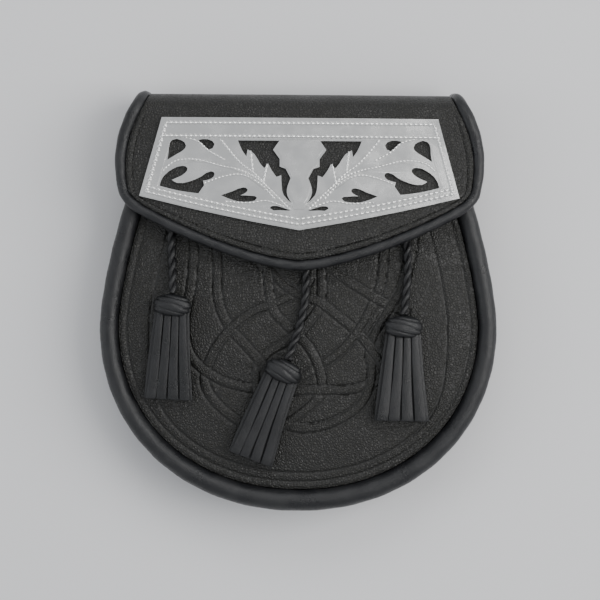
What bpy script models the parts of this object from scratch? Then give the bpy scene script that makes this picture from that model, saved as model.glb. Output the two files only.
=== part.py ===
"""Sporran pouch: black leather, flap with a pierced metal plaque, three tassels.

The pouch is drawn as it rests, lying on its back. +Z points out of its front, +Y towards the fold
of the flap and +X to the right as seen from the front. Z = 0 is the surface that it lies on.
"""
import math
from typing import NamedTuple

import bmesh
import bpy
from mathutils import Matrix, Vector

MM = 0.001
GAP = 0.3 * MM                      # clearance that touching pieces keep

# Body outline seen from the front, without the flap
BODY_HALF_WIDTH = 92.5 * MM
BODY_WIDEST_Y = -11.6 * MM          # height of the widest line
BODY_DROP = 86.2 * MM               # from the widest line down to the lowest point
BODY_ROUNDNESS = 2.1                # exponent of the superellipse below the widest line
SHOULDER_TAPER = 24.7 * MM          # narrowing of each side, SHOULDER_RISE above the widest line
SHOULDER_RISE = 95.6 * MM
SHOULDER_POWER = 1.5
LOWER_SHARE = 0.6                   # share of the outline's half that lies below the widest line
OUTLINE_STEP = 0.004                # step of the outline's parameter for its direction

# Levels above the surface that the pouch lies on
BACK_TOP_Z = 5.2 * MM
BINDING_Z = 27.0 * MM               # centre of the roll round the front
PANEL_EDGE_Z = 27.5 * MM
PANEL_CROWN = 5.5 * MM              # how far the front swells over its edge
PANEL_CROWN_POWER = 2.2
MOUTH_CROWN_LOSS = 0.45             # share of the swelling lost up at the mouth

# Back panel, its turned hem and the strap loops flattened under it
BACK_INSET = 1.5 * MM
BACK_TOP_Y = 82.0 * MM
BACK_THICKNESS = 2.5 * MM
HEM_INSET = 2.0 * MM
HEM_WIDTH = 9.0 * MM
HEM_TOP_Y = 56.0 * MM
HEM_BITE = 0.6 * MM                 # how far the hem sinks into the panel it is part of
LOOP_WIDTH = 27.0 * MM
LOOP_HEIGHT = 58.0 * MM
LOOP_THICKNESS = 2.2 * MM
LOOP_X = 39.0 * MM
LOOP_Y = 24.0 * MM
LOOP_CORNER = 5.0 * MM

# Gusset between the back panel and the front's roll
MOUTH_Y = 80.0 * MM
GUSSET_THICKNESS = 1.6 * MM
GUSSET_EDGE_CLEARANCE = 0.45 * MM

# Front panel and the roll of leather round it
PANEL_THICKNESS = 2.2 * MM
PANEL_TOP_Y = 78.0 * MM
PANEL_CENTRE_Y = -8.0 * MM
ROLL_SIDE_RADIUS = 4.3 * MM
ROLL_BOTTOM_RADIUS = 5.0 * MM
BORDER_DEPTH = 0.7 * MM             # depth of the line pressed in round the front

# Flap: its front patch ends in a V-shaped edge, its sides in rounded corners
FLAP_THICKNESS = 2.4 * MM
FLAP_FRONT_Y = 86.0 * MM            # where the fold ends and the front begins
FLAP_FRONT_Z = 35.2 * MM
FLAP_TIP_Z = 40.4 * MM
FLAP_TIP_Y = 14.0 * MM              # outside of the binding at the tip of the V
FLAP_V_RISE = 28.0 * MM             # rise of the V edge FLAP_V_REACH out from the middle
FLAP_V_REACH = 79.0 * MM
FLAP_V_POWER = 1.55
FLAP_CORNER_RISE = 3.6 * MM
FLAP_CORNER_POWER = 30
FLAP_CORNER_X = 83.6 * MM
FLAP_WIDEST = 85.7 * MM
FLAP_WIDEST_Y = 64.8 * MM
FLAP_UPPER_TAPER = 11.1 * MM        # narrowing FLAP_UPPER_RISE above the widest line
FLAP_UPPER_RISE = 31.7 * MM
FLAP_LOWER_TAPER = 2.1 * MM         # narrowing FLAP_LOWER_DROP below the widest line
FLAP_LOWER_DROP = 15.3 * MM
FLAP_CROWN = 3.2 * MM               # drop of the flap's sides against its middle
FLAP_BINDING_SIDE_RADIUS = 3.0 * MM
FLAP_BINDING_EDGE_RADIUS = 2.4 * MM
FLAP_BINDING_START = 0.36           # where the binding starts, as a share of the fold's rows

# Plaque
PLAQUE_THICKNESS = 1.2 * MM
PLAQUE_FRAME_RAISE = 0.5 * MM
PLAQUE_THISTLE_RAISE = 0.9 * MM
PLAQUE_TOP_Y = 84.6 * MM
PLAQUE_TOP_HALF = 64.0 * MM
PLAQUE_CORNER_Y = 48.0 * MM
PLAQUE_CORNER_HALF = 74.0 * MM
PLAQUE_TIP_Y = 32.6 * MM
PLAQUE_EDGE_BULGE = 0.8 * MM        # how far each lower edge bows outwards
PLAQUE_EDGE_SHARES = (0.3, 0.65, 1.0)
PLAQUE_BAND = 6.2 * MM              # widths of the raised bands round the openwork
PLAQUE_TOP_BAND = 10.0 * MM
PLAQUE_SIDE_BAND = 7.0 * MM
PLAQUE_BAND_EDGE = 0.5 * MM         # how far the raised bands stay inside the plate's edge
PLAQUE_RAISED_FROM = 0.6 * MM       # level inside the plate where the raised forms start
PLAQUE_CUT_STEP = 24.0 * MM         # spacing of the cuts that let the plate bend with the flap
PLAQUE_CROSS_CUTS = (0.35, 0.68)    # the same cuts across, as shares of its height
RIB_RADIUS = 0.7 * MM

# Snap stud under the flap, hidden by it
STUD_Y = 34.0 * MM
STUD_FLANGE_RADIUS = 6.0 * MM
STUD_POST_RADIUS = 3.6 * MM
STUD_FLANGE_HEIGHT = 1.2 * MM
STUD_STEPS = 16

# Cords and tassels
CORD_RADIUS = 2.1 * MM
CORD_POINTS = 15
TASSEL_HEAD_HALF_WIDTH = 8.9 * MM
TASSEL_HEAD_HALF_HEIGHT = 5.35 * MM
TASSEL_HEAD_HALF_DEPTH = 4.7 * MM
TASSEL_SKIRT = 42.5 * MM
HEAD_SQUARENESS = 0.75              # below 1 the head is more of a drum than a ball
STRIP_THICKNESS = 1.7 * MM
STRIP_CUTS = 1

# Mesh densities
RIB_STEPS = 4
GUSSET_COLUMNS, GUSSET_ROWS = 44, 6
ROLL_POINTS = 40
PANEL_SIDE_POINTS, PANEL_TOP_POINTS = 42, 6
FLAP_COLUMNS, FLAP_FOLD_ROWS, FLAP_FRONT_ROWS = 18, 12, 9
FLAP_BINDING_SIDE_POINTS, FLAP_BINDING_EDGE_POINTS = 15, 21
BACK_POINTS = 40


class FoldRow(NamedTuple):
    """A line across the flap, from its hem under the back panel to the top of its front."""
    y: float
    z: float
    half_width: float
    crown: float


FLAP_FOLD = [FoldRow(*row) for row in (
    (62.0 * MM, 1.30 * MM, 66.0 * MM, 0.0),
    (74.0 * MM, 1.30 * MM, 67.5 * MM, 0.0),
    (84.2 * MM, 1.60 * MM, 69.5 * MM, 0.0),
    (91.0 * MM, 4.80 * MM, 71.8 * MM, 0.1),
    (94.5 * MM, 10.8 * MM, 73.4 * MM, 0.25),
    (95.4 * MM, 18.8 * MM, 74.6 * MM, 0.4),
    (94.5 * MM, 26.8 * MM, 76.0 * MM, 0.6),
    (91.2 * MM, 32.6 * MM, 78.0 * MM, 0.85),
    (86.0 * MM, 35.2 * MM, 80.7 * MM, 1.0),
)]


class GussetRow(NamedTuple):
    """A line along the gusset: its share of the gusset's depth and how far the pleat folds in there."""
    share: float
    fold: float


GUSSET_FOLD = [GussetRow(*row) for row in (
    (0.00, 0.0 * MM),
    (0.16, 0.3 * MM),
    (0.40, 4.3 * MM),
    (0.50, 5.4 * MM),
    (0.60, 4.3 * MM),
    (0.84, 0.3 * MM),
    (1.00, 0.0 * MM),
)]


class PanelRing(NamedTuple):
    """A ring of the front panel: its share of the way out from the centre, and how deep it is pressed."""
    share: float
    depth: float


PANEL_RINGS = [PanelRing(*row) for row in (
    (0.93, 0.0),
    (0.87, 0.0),
    (0.85, 1.0),
    (0.83, 0.0),
    (0.58, 0.0),
    (0.30, 0.0),
)]


class Piercing(NamedTuple):
    """A point of a hole in the plaque's right half, sharp at a leaf's tip and smooth elsewhere."""
    x: float
    y: float
    sharp: bool


def _hole(*rows: tuple) -> list:
    """Rows of x and y in millimetres and whether the point is sharp, as a list of Piercing."""
    return [Piercing(x * MM, y * MM, bool(sharp)) for x, y, sharp in rows]


# The holes beside the leaves, on the right of the plaque's middle line
PIERCINGS = {
    "beside_thistle": _hole(
        (9.4, 74.0, 1), (28.6, 74.0, 1), (26.6, 69.4, 0), (24.6, 66.6, 1), (24.1, 69.8, 1),
        (21.0, 67.8, 0), (18.2, 63.3, 0), (16.3, 61.2, 1), (14.5, 63.4, 1), (12.8, 60.1, 0),
        (10.6, 57.2, 1), (8.4, 58.0, 1), (8.2, 53.1, 0), (7.3, 48.9, 0), (3.5, 45.1, 1),
        (5.4, 48.3, 0), (5.8, 51.3, 0), (4.8, 54.8, 0), (4.1, 56.6, 1), (6.4, 61.0, 1),
        (9.2, 62.0, 1), (9.2, 65.5, 1), (12.3, 69.8, 1)),
    "round": _hole((39.4, 72.2, 0), (42.6, 74.4, 0), (47.2, 74.0, 1), (45.4, 71.8, 0), (42.2, 69.5, 0)),
    "corner": _hole(
        (52.6, 71.4, 0), (54.8, 73.9, 0), (59.0, 74.0, 0), (60.4, 71.3, 0), (60.6, 68.5, 0),
        (61.2, 64.8, 1), (56.6, 67.6, 0), (53.8, 69.4, 0)),
    "hook": _hole(
        (51.8, 61.0, 0), (54.3, 62.0, 0), (58.5, 60.6, 0), (62.2, 57.8, 0), (63.8, 55.4, 0),
        (64.6, 52.7, 1), (55.7, 50.5, 0), (46.6, 49.3, 1), (44.0, 53.1, 1), (44.5, 55.2, 1),
        (40.8, 56.2, 0), (39.2, 58.3, 0), (40.8, 59.6, 0), (45.4, 57.1, 0), (51.0, 54.7, 0),
        (56.6, 54.1, 0), (59.0, 55.5, 1), (56.2, 56.7, 0), (52.9, 58.7, 0)),
    "below_leaf": _hole(
        (23.9, 51.3, 0), (25.9, 52.2, 0), (30.5, 50.5, 0), (36.1, 48.5, 1), (29.6, 46.0, 0),
        (23.1, 45.7, 0), (19.5, 47.4, 0), (22.1, 48.3, 0), (27.3, 48.5, 1), (24.7, 49.8, 0)),
    "sliver": _hole((3.9, 41.6, 1), (8.2, 43.1, 0), (12.4, 43.7, 0), (13.5, 42.6, 0), (9.1, 41.8, 0)),
}


class ThistleRow(NamedTuple):
    """A level of the thistle's outline."""
    y: float
    half_width: float


THISTLE = [ThistleRow(*row) for row in (
    (73.6 * MM, 7.6 * MM), (72.0 * MM, 8.8 * MM), (69.8 * MM, 10.6 * MM), (66.6 * MM, 8.2 * MM),
    (63.0 * MM, 8.0 * MM), (60.8 * MM, 5.2 * MM), (56.6 * MM, 3.3 * MM), (54.2 * MM, 3.9 * MM),
    (51.2 * MM, 4.8 * MM), (48.2 * MM, 4.0 * MM), (45.4 * MM, 2.2 * MM), (42.4 * MM, 2.4 * MM),
)]

# Raised ribs of the leaves, from the stem outwards, on the right half: points in x and y
LEAF_RIBS = {
    "upper": ((2.6 * MM, 43.6 * MM), (14.0 * MM, 51.6 * MM), (24.0 * MM, 61.0 * MM), (33.0 * MM, 70.5 * MM)),
    "middle": ((16.0 * MM, 51.8 * MM), (29.0 * MM, 60.6 * MM), (45.0 * MM, 64.6 * MM), (59.0 * MM, 61.8 * MM)),
}


class CordPoint(NamedTuple):
    """A point of a cord's route on the front, and how far the cord is lifted off the leather."""
    x: float
    y: float
    lift: float


def _route(*rows: tuple) -> list:
    """Rows of x, y and lift in millimetres as a list of CordPoint."""
    return [CordPoint(x * MM, y * MM, lift * MM) for x, y, lift in rows]


class Tassel(NamedTuple):
    """A tassel lying on the front, the cord that holds it and the way it leans."""
    side: str
    head_x: float
    head_y: float
    lean: float
    foot_width: float
    cord: list


TASSELS = [
    Tassel("left", -58.5 * MM, -2.6 * MM, math.radians(2.5), 23.0 * MM, _route(
        (-59.6, 42.0, 0.0), (-59.4, 32.0, 0.0), (-59.0, 22.0, 0.0), (-58.4, 12.0, 0.9), (-58.2, 3.2, 2.3))),
    Tassel("middle", -6.8 * MM, -32.6 * MM, math.radians(20.5), 22.0 * MM, _route(
        (3.6, 24.0, 0.0), (3.6, 12.0, 0.0), (3.0, 0.0, 0.0), (0.7, -11.2, 0.0), (-2.2, -20.0, 1.0),
        (-4.7, -27.1, 2.3))),
    Tassel("right", 48.7 * MM, -11.7 * MM, math.radians(1.0), 26.0 * MM, _route(
        (49.8, 40.0, 0.0), (50.1, 29.0, 0.0), (50.6, 16.0, 0.0), (50.0, 4.0, 0.6), (48.9, -5.9, 2.3))),
]


class StripLayer(NamedTuple):
    """A layer of a tassel's strips: how many, its height and its share of the tassel's width."""
    count: int
    z: float
    head_share: float
    foot_share: float


STRIP_LAYERS = [StripLayer(*row) for row in (
    (3, 1.1 * MM, 0.60, 0.72),
    (5, 3.2 * MM, 0.92, 1.00),
    (4, 5.3 * MM, 0.76, 0.90),
)]


def clear_scene() -> None:
    """Remove the objects that the scene starts with."""
    for obj in list(bpy.data.objects):
        bpy.data.objects.remove(obj, do_unlink=True)


def make_collection(name: str) -> bpy.types.Collection:
    """Make a collection of the scene."""
    collection = bpy.data.collections.new(name)
    bpy.context.scene.collection.children.link(collection)
    return collection


def make_material(name: str, colour: tuple, roughness: float, metallic: float = 0.0) -> bpy.types.Material:
    """Make a plain Principled material."""
    material = bpy.data.materials.new(name)
    material.use_nodes = True
    shader = material.node_tree.nodes["Principled BSDF"]
    shader.inputs["Base Color"].default_value = (*colour, 1.0)
    shader.inputs["Roughness"].default_value = roughness
    shader.inputs["Metallic"].default_value = metallic
    material.diffuse_color = (*colour, 1.0)
    return material


def add_object(name: str, data: bpy.types.ID, material: bpy.types.Material,
               collection: bpy.types.Collection) -> bpy.types.Object:
    """Link a mesh or a curve as a named object with its material."""
    obj = bpy.data.objects.new(name, data)
    obj.data.materials.append(material)
    collection.objects.link(obj)
    return obj


def mesh_object(name: str, bm: bmesh.types.BMesh, material: bpy.types.Material,
                collection: bpy.types.Collection) -> bpy.types.Object:
    """Turn a bmesh into a named, smooth-shaded object."""
    mesh = bpy.data.meshes.new(name)
    bm.to_mesh(mesh)
    bm.free()
    mesh.shade_smooth()
    mesh.set_sharp_from_angle(angle=math.radians(40))
    return add_object(name, mesh, material, collection)


def solidify(obj: bpy.types.Object, thickness: float, offset: float) -> None:
    """Give an open sheet its wall, offset -1 below its faces and 0 on both sides."""
    modifier = obj.modifiers.new("Wall", "SOLIDIFY")
    modifier.thickness = thickness
    modifier.offset = offset
    modifier.use_even_offset = True


def face_towards(bm: bmesh.types.BMesh, direction: Vector) -> None:
    """Turn all faces of an open sheet so that its first face looks in a direction."""
    bm.normal_update()
    bm.faces.ensure_lookup_table()
    if bm.faces[0].normal.dot(direction) < 0:
        bmesh.ops.reverse_faces(bm, faces=bm.faces[:])


def bake(obj: bpy.types.Object, collection: bpy.types.Collection) -> bpy.types.Object:
    """Replace a curve object by its welded mesh, under the same name."""
    bpy.context.view_layer.update()
    evaluated = obj.evaluated_get(bpy.context.evaluated_depsgraph_get())
    mesh = bpy.data.meshes.new_from_object(evaluated)
    bm = bmesh.new()
    bm.from_mesh(mesh)
    bmesh.ops.remove_doubles(bm, verts=bm.verts[:], dist=0.01 * MM)
    bm.to_mesh(mesh)
    bm.free()
    name, place = obj.name, obj.matrix_world.copy()
    bpy.data.objects.remove(obj, do_unlink=True)
    baked = bpy.data.objects.new(name, mesh)
    baked.matrix_world = place
    collection.objects.link(baked)
    return baked


def boolean(obj: bpy.types.Object, other: bpy.types.Object, operation: str) -> None:
    """Cut or join an object with another one, which is hidden from renders."""
    modifier = obj.modifiers.new(f"{operation.title()} {other.name}", "BOOLEAN")
    modifier.operation = operation
    modifier.object = other
    other.hide_render = True
    other.display_type = "WIRE"


def tube(name: str, points: list, radii: list, sides_resolution: int, material: bpy.types.Material,
         collection: bpy.types.Collection) -> bpy.types.Object:
    """Make a capped tube along points, with a radius at each of them."""
    curve = bpy.data.curves.new(name, "CURVE")
    curve.dimensions = "3D"
    curve.bevel_depth = max(radii)
    curve.bevel_resolution = sides_resolution
    curve.use_fill_caps = True
    spline = curve.splines.new("POLY")
    spline.points.add(len(points) - 1)
    for control, place, radius in zip(spline.points, points, radii):
        control.co = (*place, 1.0)
        control.radius = radius / max(radii)
    return add_object(name, curve, material, collection)


def flat_outline(name: str, outline: list, thickness: float, z: float, material: bpy.types.Material,
                 collection: bpy.types.Collection) -> bpy.types.Object:
    """Make a flat plate from a closed outline in x and y, with its lower face at z."""
    curve = bpy.data.curves.new(name, "CURVE")
    curve.dimensions = "2D"
    curve.fill_mode = "BOTH"
    curve.extrude = thickness / 2
    spline = curve.splines.new("POLY")
    spline.points.add(len(outline) - 1)
    for control, (x, y) in zip(spline.points, outline):
        control.co = (x, y, 0.0, 1.0)
    spline.use_cyclic_u = True
    obj = add_object(name, curve, material, collection)
    obj.location.z = z + thickness / 2
    return obj


def along_rows(rows: list, position: float) -> tuple:
    """Read a table of rows at a position between them, on a smooth curve through the rows."""
    position = min(max(position, 0.0), len(rows) - 1.0)
    start = min(int(position), len(rows) - 2)
    share = position - start
    before, here = rows[max(start - 1, 0)], rows[start]
    there, after = rows[start + 1], rows[min(start + 2, len(rows) - 1)]
    return tuple(
        0.5 * (2 * b + (c - a) * share + (2 * a - 5 * b + 4 * c - d) * share ** 2
               + (3 * b - a - 3 * c + d) * share ** 3)
        for a, b, c, d in zip(before, here, there, after))


def ease(share: float) -> float:
    """Go from 0 to 1 with a level start and end."""
    share = min(max(share, 0.0), 1.0)
    return share * share * (3 - 2 * share)


def body_half_width(y: float) -> float:
    """Half the width of the body's outline at a height."""
    if y >= BODY_WIDEST_Y:
        rise = (y - BODY_WIDEST_Y) / SHOULDER_RISE
        return BODY_HALF_WIDTH - SHOULDER_TAPER * rise ** SHOULDER_POWER
    drop = min((BODY_WIDEST_Y - y) / BODY_DROP, 1.0)
    return BODY_HALF_WIDTH * (1 - drop ** BODY_ROUNDNESS) ** (1 / BODY_ROUNDNESS)


def body_outline(position: float, top_y: float) -> Vector:
    """Point of the body's outline, from -1 at its upper left end over 0 at the bottom to 1."""
    side, share = math.copysign(1.0, position), abs(position)
    if share > LOWER_SHARE:
        y = BODY_WIDEST_Y + (share - LOWER_SHARE) / (1 - LOWER_SHARE) * (top_y - BODY_WIDEST_Y)
        return Vector((side * body_half_width(y), y))
    angle = share / LOWER_SHARE * math.pi / 2
    power = 2 / BODY_ROUNDNESS
    return Vector((side * BODY_HALF_WIDTH * math.sin(angle) ** power,
                   BODY_WIDEST_Y - BODY_DROP * math.cos(angle) ** power))


def inside_outline(position: float, inset: float, top_y: float) -> Vector:
    """Point inside the body's outline by an inset, square to it."""
    ahead = body_outline(min(position + OUTLINE_STEP, 1.0), top_y)
    behind = body_outline(max(position - OUTLINE_STEP, -1.0), top_y)
    direction = (ahead - behind).normalized()
    return body_outline(position, top_y) + inset * Vector((-direction.y, direction.x))


def spread(count: int) -> list:
    """Evenly spaced positions from -1 to 1."""
    return [2 * index / (count - 1) - 1 for index in range(count)]


def roll_radius(position: float) -> float:
    """Radius of the roll round the front, fuller at the bottom than at the sides."""
    fullness = ease(1 - abs(position) / LOWER_SHARE)
    return ROLL_SIDE_RADIUS + (ROLL_BOTTOM_RADIUS - ROLL_SIDE_RADIUS) * fullness


def panel_height(x: float, y: float) -> float:
    """Height of the front panel's outer face, swelling from its edge to its middle."""
    edge = 2 * ROLL_SIDE_RADIUS
    across = abs(x) / (body_half_width(max(y, BODY_WIDEST_Y)) - edge)
    down = max(BODY_WIDEST_Y - y, 0.0) / (BODY_DROP - edge)
    reach = min((across ** 2 + down ** 2) ** 0.5, 1.0)
    loss = MOUTH_CROWN_LOSS * ease((y - BODY_WIDEST_Y) / (PANEL_TOP_Y - BODY_WIDEST_Y))
    return PANEL_EDGE_Z + PANEL_CROWN * (1 - loss) * (1 - reach ** PANEL_CROWN_POWER)


def flap_height(x: float, y: float) -> float:
    """Height of the middle of the flap's leather on its front."""
    slope = ease((FLAP_FRONT_Y - y) / (FLAP_FRONT_Y - FLAP_TIP_Y))
    return FLAP_FRONT_Z + (FLAP_TIP_Z - FLAP_FRONT_Z) * slope - FLAP_CROWN * (x / FLAP_WIDEST) ** 2


def flap_half_width(y: float) -> float:
    """Half the width of the flap's front, its binding included."""
    if y > FLAP_WIDEST_Y:
        return FLAP_WIDEST - FLAP_UPPER_TAPER * ((y - FLAP_WIDEST_Y) / FLAP_UPPER_RISE) ** 2
    return FLAP_WIDEST - FLAP_LOWER_TAPER * ((FLAP_WIDEST_Y - y) / FLAP_LOWER_DROP) ** 2


def flap_edge(x: float, inset: float) -> float:
    """Height on the page of the flap's V edge, inside its binding's outside by an inset."""
    reach = abs(x) / FLAP_V_REACH
    slope = FLAP_V_RISE / FLAP_V_REACH * FLAP_V_POWER * reach ** (FLAP_V_POWER - 1)
    corner = FLAP_CORNER_RISE * (abs(x) / (FLAP_CORNER_X - inset)) ** FLAP_CORNER_POWER
    return (FLAP_TIP_Y + FLAP_V_RISE * reach ** FLAP_V_POWER + inset * math.hypot(1.0, slope) + corner)


def flap_fold_point(across: float, position: float, inset: float) -> Vector:
    """Point of the fold: across from -1 to 1, position from 0 at the hem to 1 at the front."""
    row = FoldRow(*along_rows(FLAP_FOLD, position * (len(FLAP_FOLD) - 1)))
    x = across * (row.half_width - inset)
    return Vector((x, row.y, row.z - row.crown * FLAP_CROWN * (x / FLAP_WIDEST) ** 2))


def flap_front_point(across: float, position: float, inset: float) -> Vector:
    """Point of the flap's front: position from 0 at the fold to 1 at the V edge."""
    corner = flap_edge(FLAP_CORNER_X - inset, inset)
    side_y = FLAP_FRONT_Y + (corner - FLAP_FRONT_Y) * position
    edge = flap_edge(across * (FLAP_CORNER_X - inset), inset)
    x = across * (flap_half_width(side_y) - inset)
    y = FLAP_FRONT_Y + (edge - FLAP_FRONT_Y) * position
    return Vector((x, y, flap_height(x, y)))


def build_back_panel(parts, cutters, leather) -> None:
    """Flat back with a turned hem at its sides and bottom, on which it rests."""
    outline = [tuple(inside_outline(p, BACK_INSET, BACK_TOP_Y)) for p in spread(BACK_POINTS)]
    panel = bake(flat_outline("back_panel", outline, BACK_THICKNESS, BACK_TOP_Z - BACK_THICKNESS,
                              leather, parts), parts)
    outer = [tuple(inside_outline(p, HEM_INSET, HEM_TOP_Y)) for p in spread(BACK_POINTS)]
    inner = [tuple(inside_outline(p, HEM_INSET + HEM_WIDTH, HEM_TOP_Y)) for p in spread(BACK_POINTS)]
    height = BACK_TOP_Z - BACK_THICKNESS + HEM_BITE
    hem = bake(flat_outline("hem_shape", outer + inner[::-1], height, 0.0, leather, cutters), cutters)
    boolean(panel, hem, "UNION")


def build_strap_loops(parts, leather) -> None:
    """Two plain loops for the belt strap, sewn to the back and pressed flat under the pouch."""
    half_x, half_y = LOOP_WIDTH / 2, LOOP_HEIGHT / 2
    cut = LOOP_CORNER * (1 - math.sqrt(0.5))
    corner = [(half_x, half_y - LOOP_CORNER), (half_x - cut, half_y - cut), (half_x - LOOP_CORNER, half_y)]
    outline = (corner + [(-x, y) for x, y in reversed(corner)]
               + [(-x, -y) for x, y in corner] + [(x, -y) for x, y in reversed(corner)])
    for side, x in (("left", -LOOP_X), ("right", LOOP_X)):
        loop = flat_outline(f"strap_loop_{side}", outline, LOOP_THICKNESS, 0.0, leather, parts)
        loop.location.x = x
        loop.location.y = LOOP_Y


def build_gusset(parts, leather) -> None:
    """Soft side wall with one pleat folded inwards, open at the mouth."""
    low = BACK_TOP_Z + GUSSET_EDGE_CLEARANCE
    bm = bmesh.new()
    bmesh.ops.create_grid(bm, x_segments=GUSSET_COLUMNS, y_segments=GUSSET_ROWS, size=1.0)
    for vert in bm.verts:
        row = GussetRow(*along_rows(GUSSET_FOLD, (vert.co.y + 1) / 2 * (len(GUSSET_FOLD) - 1)))
        radius = roll_radius(vert.co.x)
        high = BINDING_Z - radius - GUSSET_EDGE_CLEARANCE
        place = inside_outline(vert.co.x, radius + row.fold, MOUTH_Y)
        vert.co = (*place, low + row.share * (high - low))
    face_towards(bm, Vector((-1, 0, 0)))
    solidify(mesh_object("gusset", bm, leather, parts), GUSSET_THICKNESS, 0.0)


def build_body_binding(parts, leather) -> None:
    """Roll of leather round the front's edge."""
    positions = spread(ROLL_POINTS)
    radii = [roll_radius(p) for p in positions]
    points = [(*inside_outline(p, radius, MOUTH_Y), BINDING_Z) for p, radius in zip(positions, radii)]
    tube("body_binding", points, radii, 3, leather, parts)


def build_front_panel(parts, leather) -> None:
    """Swelling front inside the roll, with one line pressed in round it."""
    rim = [inside_outline(p, 2 * roll_radius(p) + GAP, PANEL_TOP_Y) for p in spread(PANEL_SIDE_POINTS)]
    steps = range(1, PANEL_TOP_POINTS)
    rim += [rim[-1].lerp(rim[0], step / PANEL_TOP_POINTS) for step in steps]
    bm = bmesh.new()
    ring = bmesh.ops.create_circle(bm, segments=len(rim), radius=1.0)["verts"]
    for vert, place in zip(ring, rim):
        vert.co = (*place, 0.0)
    edges = bm.edges[:]
    pressed = {}
    share_before = 1.0
    centre = Matrix.Translation((0.0, -PANEL_CENTRE_Y, 0.0))
    for row in PANEL_RINGS:
        grown = bmesh.ops.extrude_edge_only(bm, edges=edges)["geom"]
        ring = [item for item in grown if isinstance(item, bmesh.types.BMVert)]
        edges = [item for item in grown if isinstance(item, bmesh.types.BMEdge)]
        factor = row.share / share_before
        bmesh.ops.scale(bm, vec=(factor, factor, 1.0), space=centre, verts=ring)
        pressed.update({vert: row.depth for vert in ring})
        share_before = row.share
    bmesh.ops.contextual_create(bm, geom=edges)
    middle = [face for face in bm.faces if len(face.verts) > 4]
    bmesh.ops.poke(bm, faces=middle)
    for vert in bm.verts:
        depth = pressed.get(vert, 0.0) * BORDER_DEPTH
        vert.co.z = panel_height(vert.co.x, vert.co.y) - depth
    face_towards(bm, Vector((0, 0, 1)))
    solidify(mesh_object("front_panel", bm, leather, parts), PANEL_THICKNESS, -1.0)


def build_flap(parts, leather) -> None:
    """Flap from its hem under the back over the top to the V edge in front."""
    rows = FLAP_FOLD_ROWS + FLAP_FRONT_ROWS
    inset = 2 * FLAP_BINDING_EDGE_RADIUS + GAP
    side_inset = 2 * FLAP_BINDING_SIDE_RADIUS + GAP
    bm = bmesh.new()
    bmesh.ops.create_grid(bm, x_segments=FLAP_COLUMNS, y_segments=rows, size=1.0)
    for vert in bm.verts:
        row = round((vert.co.y + 1) / 2 * rows)
        if row < FLAP_FOLD_ROWS:
            share = row / FLAP_FOLD_ROWS
            vert.co = flap_fold_point(vert.co.x, share, inset + (side_inset - inset) * ease(share))
        else:
            share = (row - FLAP_FOLD_ROWS) / FLAP_FRONT_ROWS
            vert.co = flap_front_point(vert.co.x, share, side_inset + (inset - side_inset) * ease(share))
    face_towards(bm, Vector((0, 0, -1)))
    solidify(mesh_object("flap", bm, leather, parts), FLAP_THICKNESS, 0.0)


def build_flap_binding(parts, leather) -> None:
    """Roll of leather along the flap's sides and V edge, ending behind the fold."""
    side_r, edge_r = FLAP_BINDING_SIDE_RADIUS, FLAP_BINDING_EDGE_RADIUS
    right = []
    fold_points = FLAP_BINDING_SIDE_POINTS // 2
    for index in range(fold_points):
        share = FLAP_BINDING_START + (1 - FLAP_BINDING_START) * index / fold_points
        radius = edge_r + (side_r - edge_r) * ease((share - 0.5) * 2)
        right.append((flap_fold_point(1.0, share, radius), radius))
    front_points = FLAP_BINDING_SIDE_POINTS - fold_points
    for index in range(front_points):
        share = index / front_points
        radius = side_r + (edge_r - side_r) * ease(share)
        right.append((flap_front_point(1.0, share, radius), radius))
    edge = [(flap_front_point(-across, 1.0, edge_r), edge_r) for across in spread(FLAP_BINDING_EDGE_POINTS)]
    left = [(Vector((-place.x, place.y, place.z)), radius) for place, radius in reversed(right)]
    path = right + edge + left
    tube("flap_binding", [place for place, _ in path], [radius for _, radius in path], 2, leather, parts)


def plaque_outline(inset_top: float = 0.0, inset_side: float = 0.0, inset_low: float = 0.0) -> list:
    """Five-sided outline of the plaque, or of the opening inside its bands."""
    lean = (PLAQUE_CORNER_HALF - PLAQUE_TOP_HALF) / (PLAQUE_TOP_Y - PLAQUE_CORNER_Y)
    fall = (PLAQUE_CORNER_Y - PLAQUE_TIP_Y) / PLAQUE_CORNER_HALF
    top = PLAQUE_TOP_Y - inset_top
    tip = PLAQUE_TIP_Y + inset_low
    side_at_top = PLAQUE_TOP_HALF + lean * inset_top - inset_side
    corner_x = (side_at_top + lean * (top - tip)) / (1 + lean * fall)
    lower = []
    for share in PLAQUE_EDGE_SHARES:
        bulge = PLAQUE_EDGE_BULGE * 4 * share * (1 - share)
        lower.append((corner_x * share, tip + fall * corner_x * share - bulge))
    left = [(-x, y) for x, y in reversed(lower)]
    return [(side_at_top, top), (-side_at_top, top), *left, (0.0, tip), *lower]


def plaque_blank(name: str, outline: list, holes: list, low: float, high: float,
                 material: bpy.types.Material, collection: bpy.types.Collection) -> bpy.types.Object:
    """Flat plate with holes, between two levels."""
    curve = bpy.data.curves.new(name, "CURVE")
    curve.dimensions = "2D"
    curve.fill_mode = "BOTH"
    curve.extrude = (high - low) / 2
    curve.resolution_u = 2
    spline = curve.splines.new("POLY")
    spline.points.add(len(outline) - 1)
    for control, (x, y) in zip(spline.points, outline):
        control.co = (x, y, 0.0, 1.0)
    spline.use_cyclic_u = True
    for hole in holes:
        spline = curve.splines.new("BEZIER")
        spline.bezier_points.add(len(hole) - 1)
        for control, (x, y, sharp) in zip(spline.bezier_points, hole):
            control.co = (x, y, 0.0)
            control.handle_left_type = control.handle_right_type = "VECTOR" if sharp else "AUTO"
        spline.use_cyclic_u = True
    obj = add_object(name, curve, material, collection)
    obj.location.z = (low + high) / 2
    return bake(obj, collection)


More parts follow.
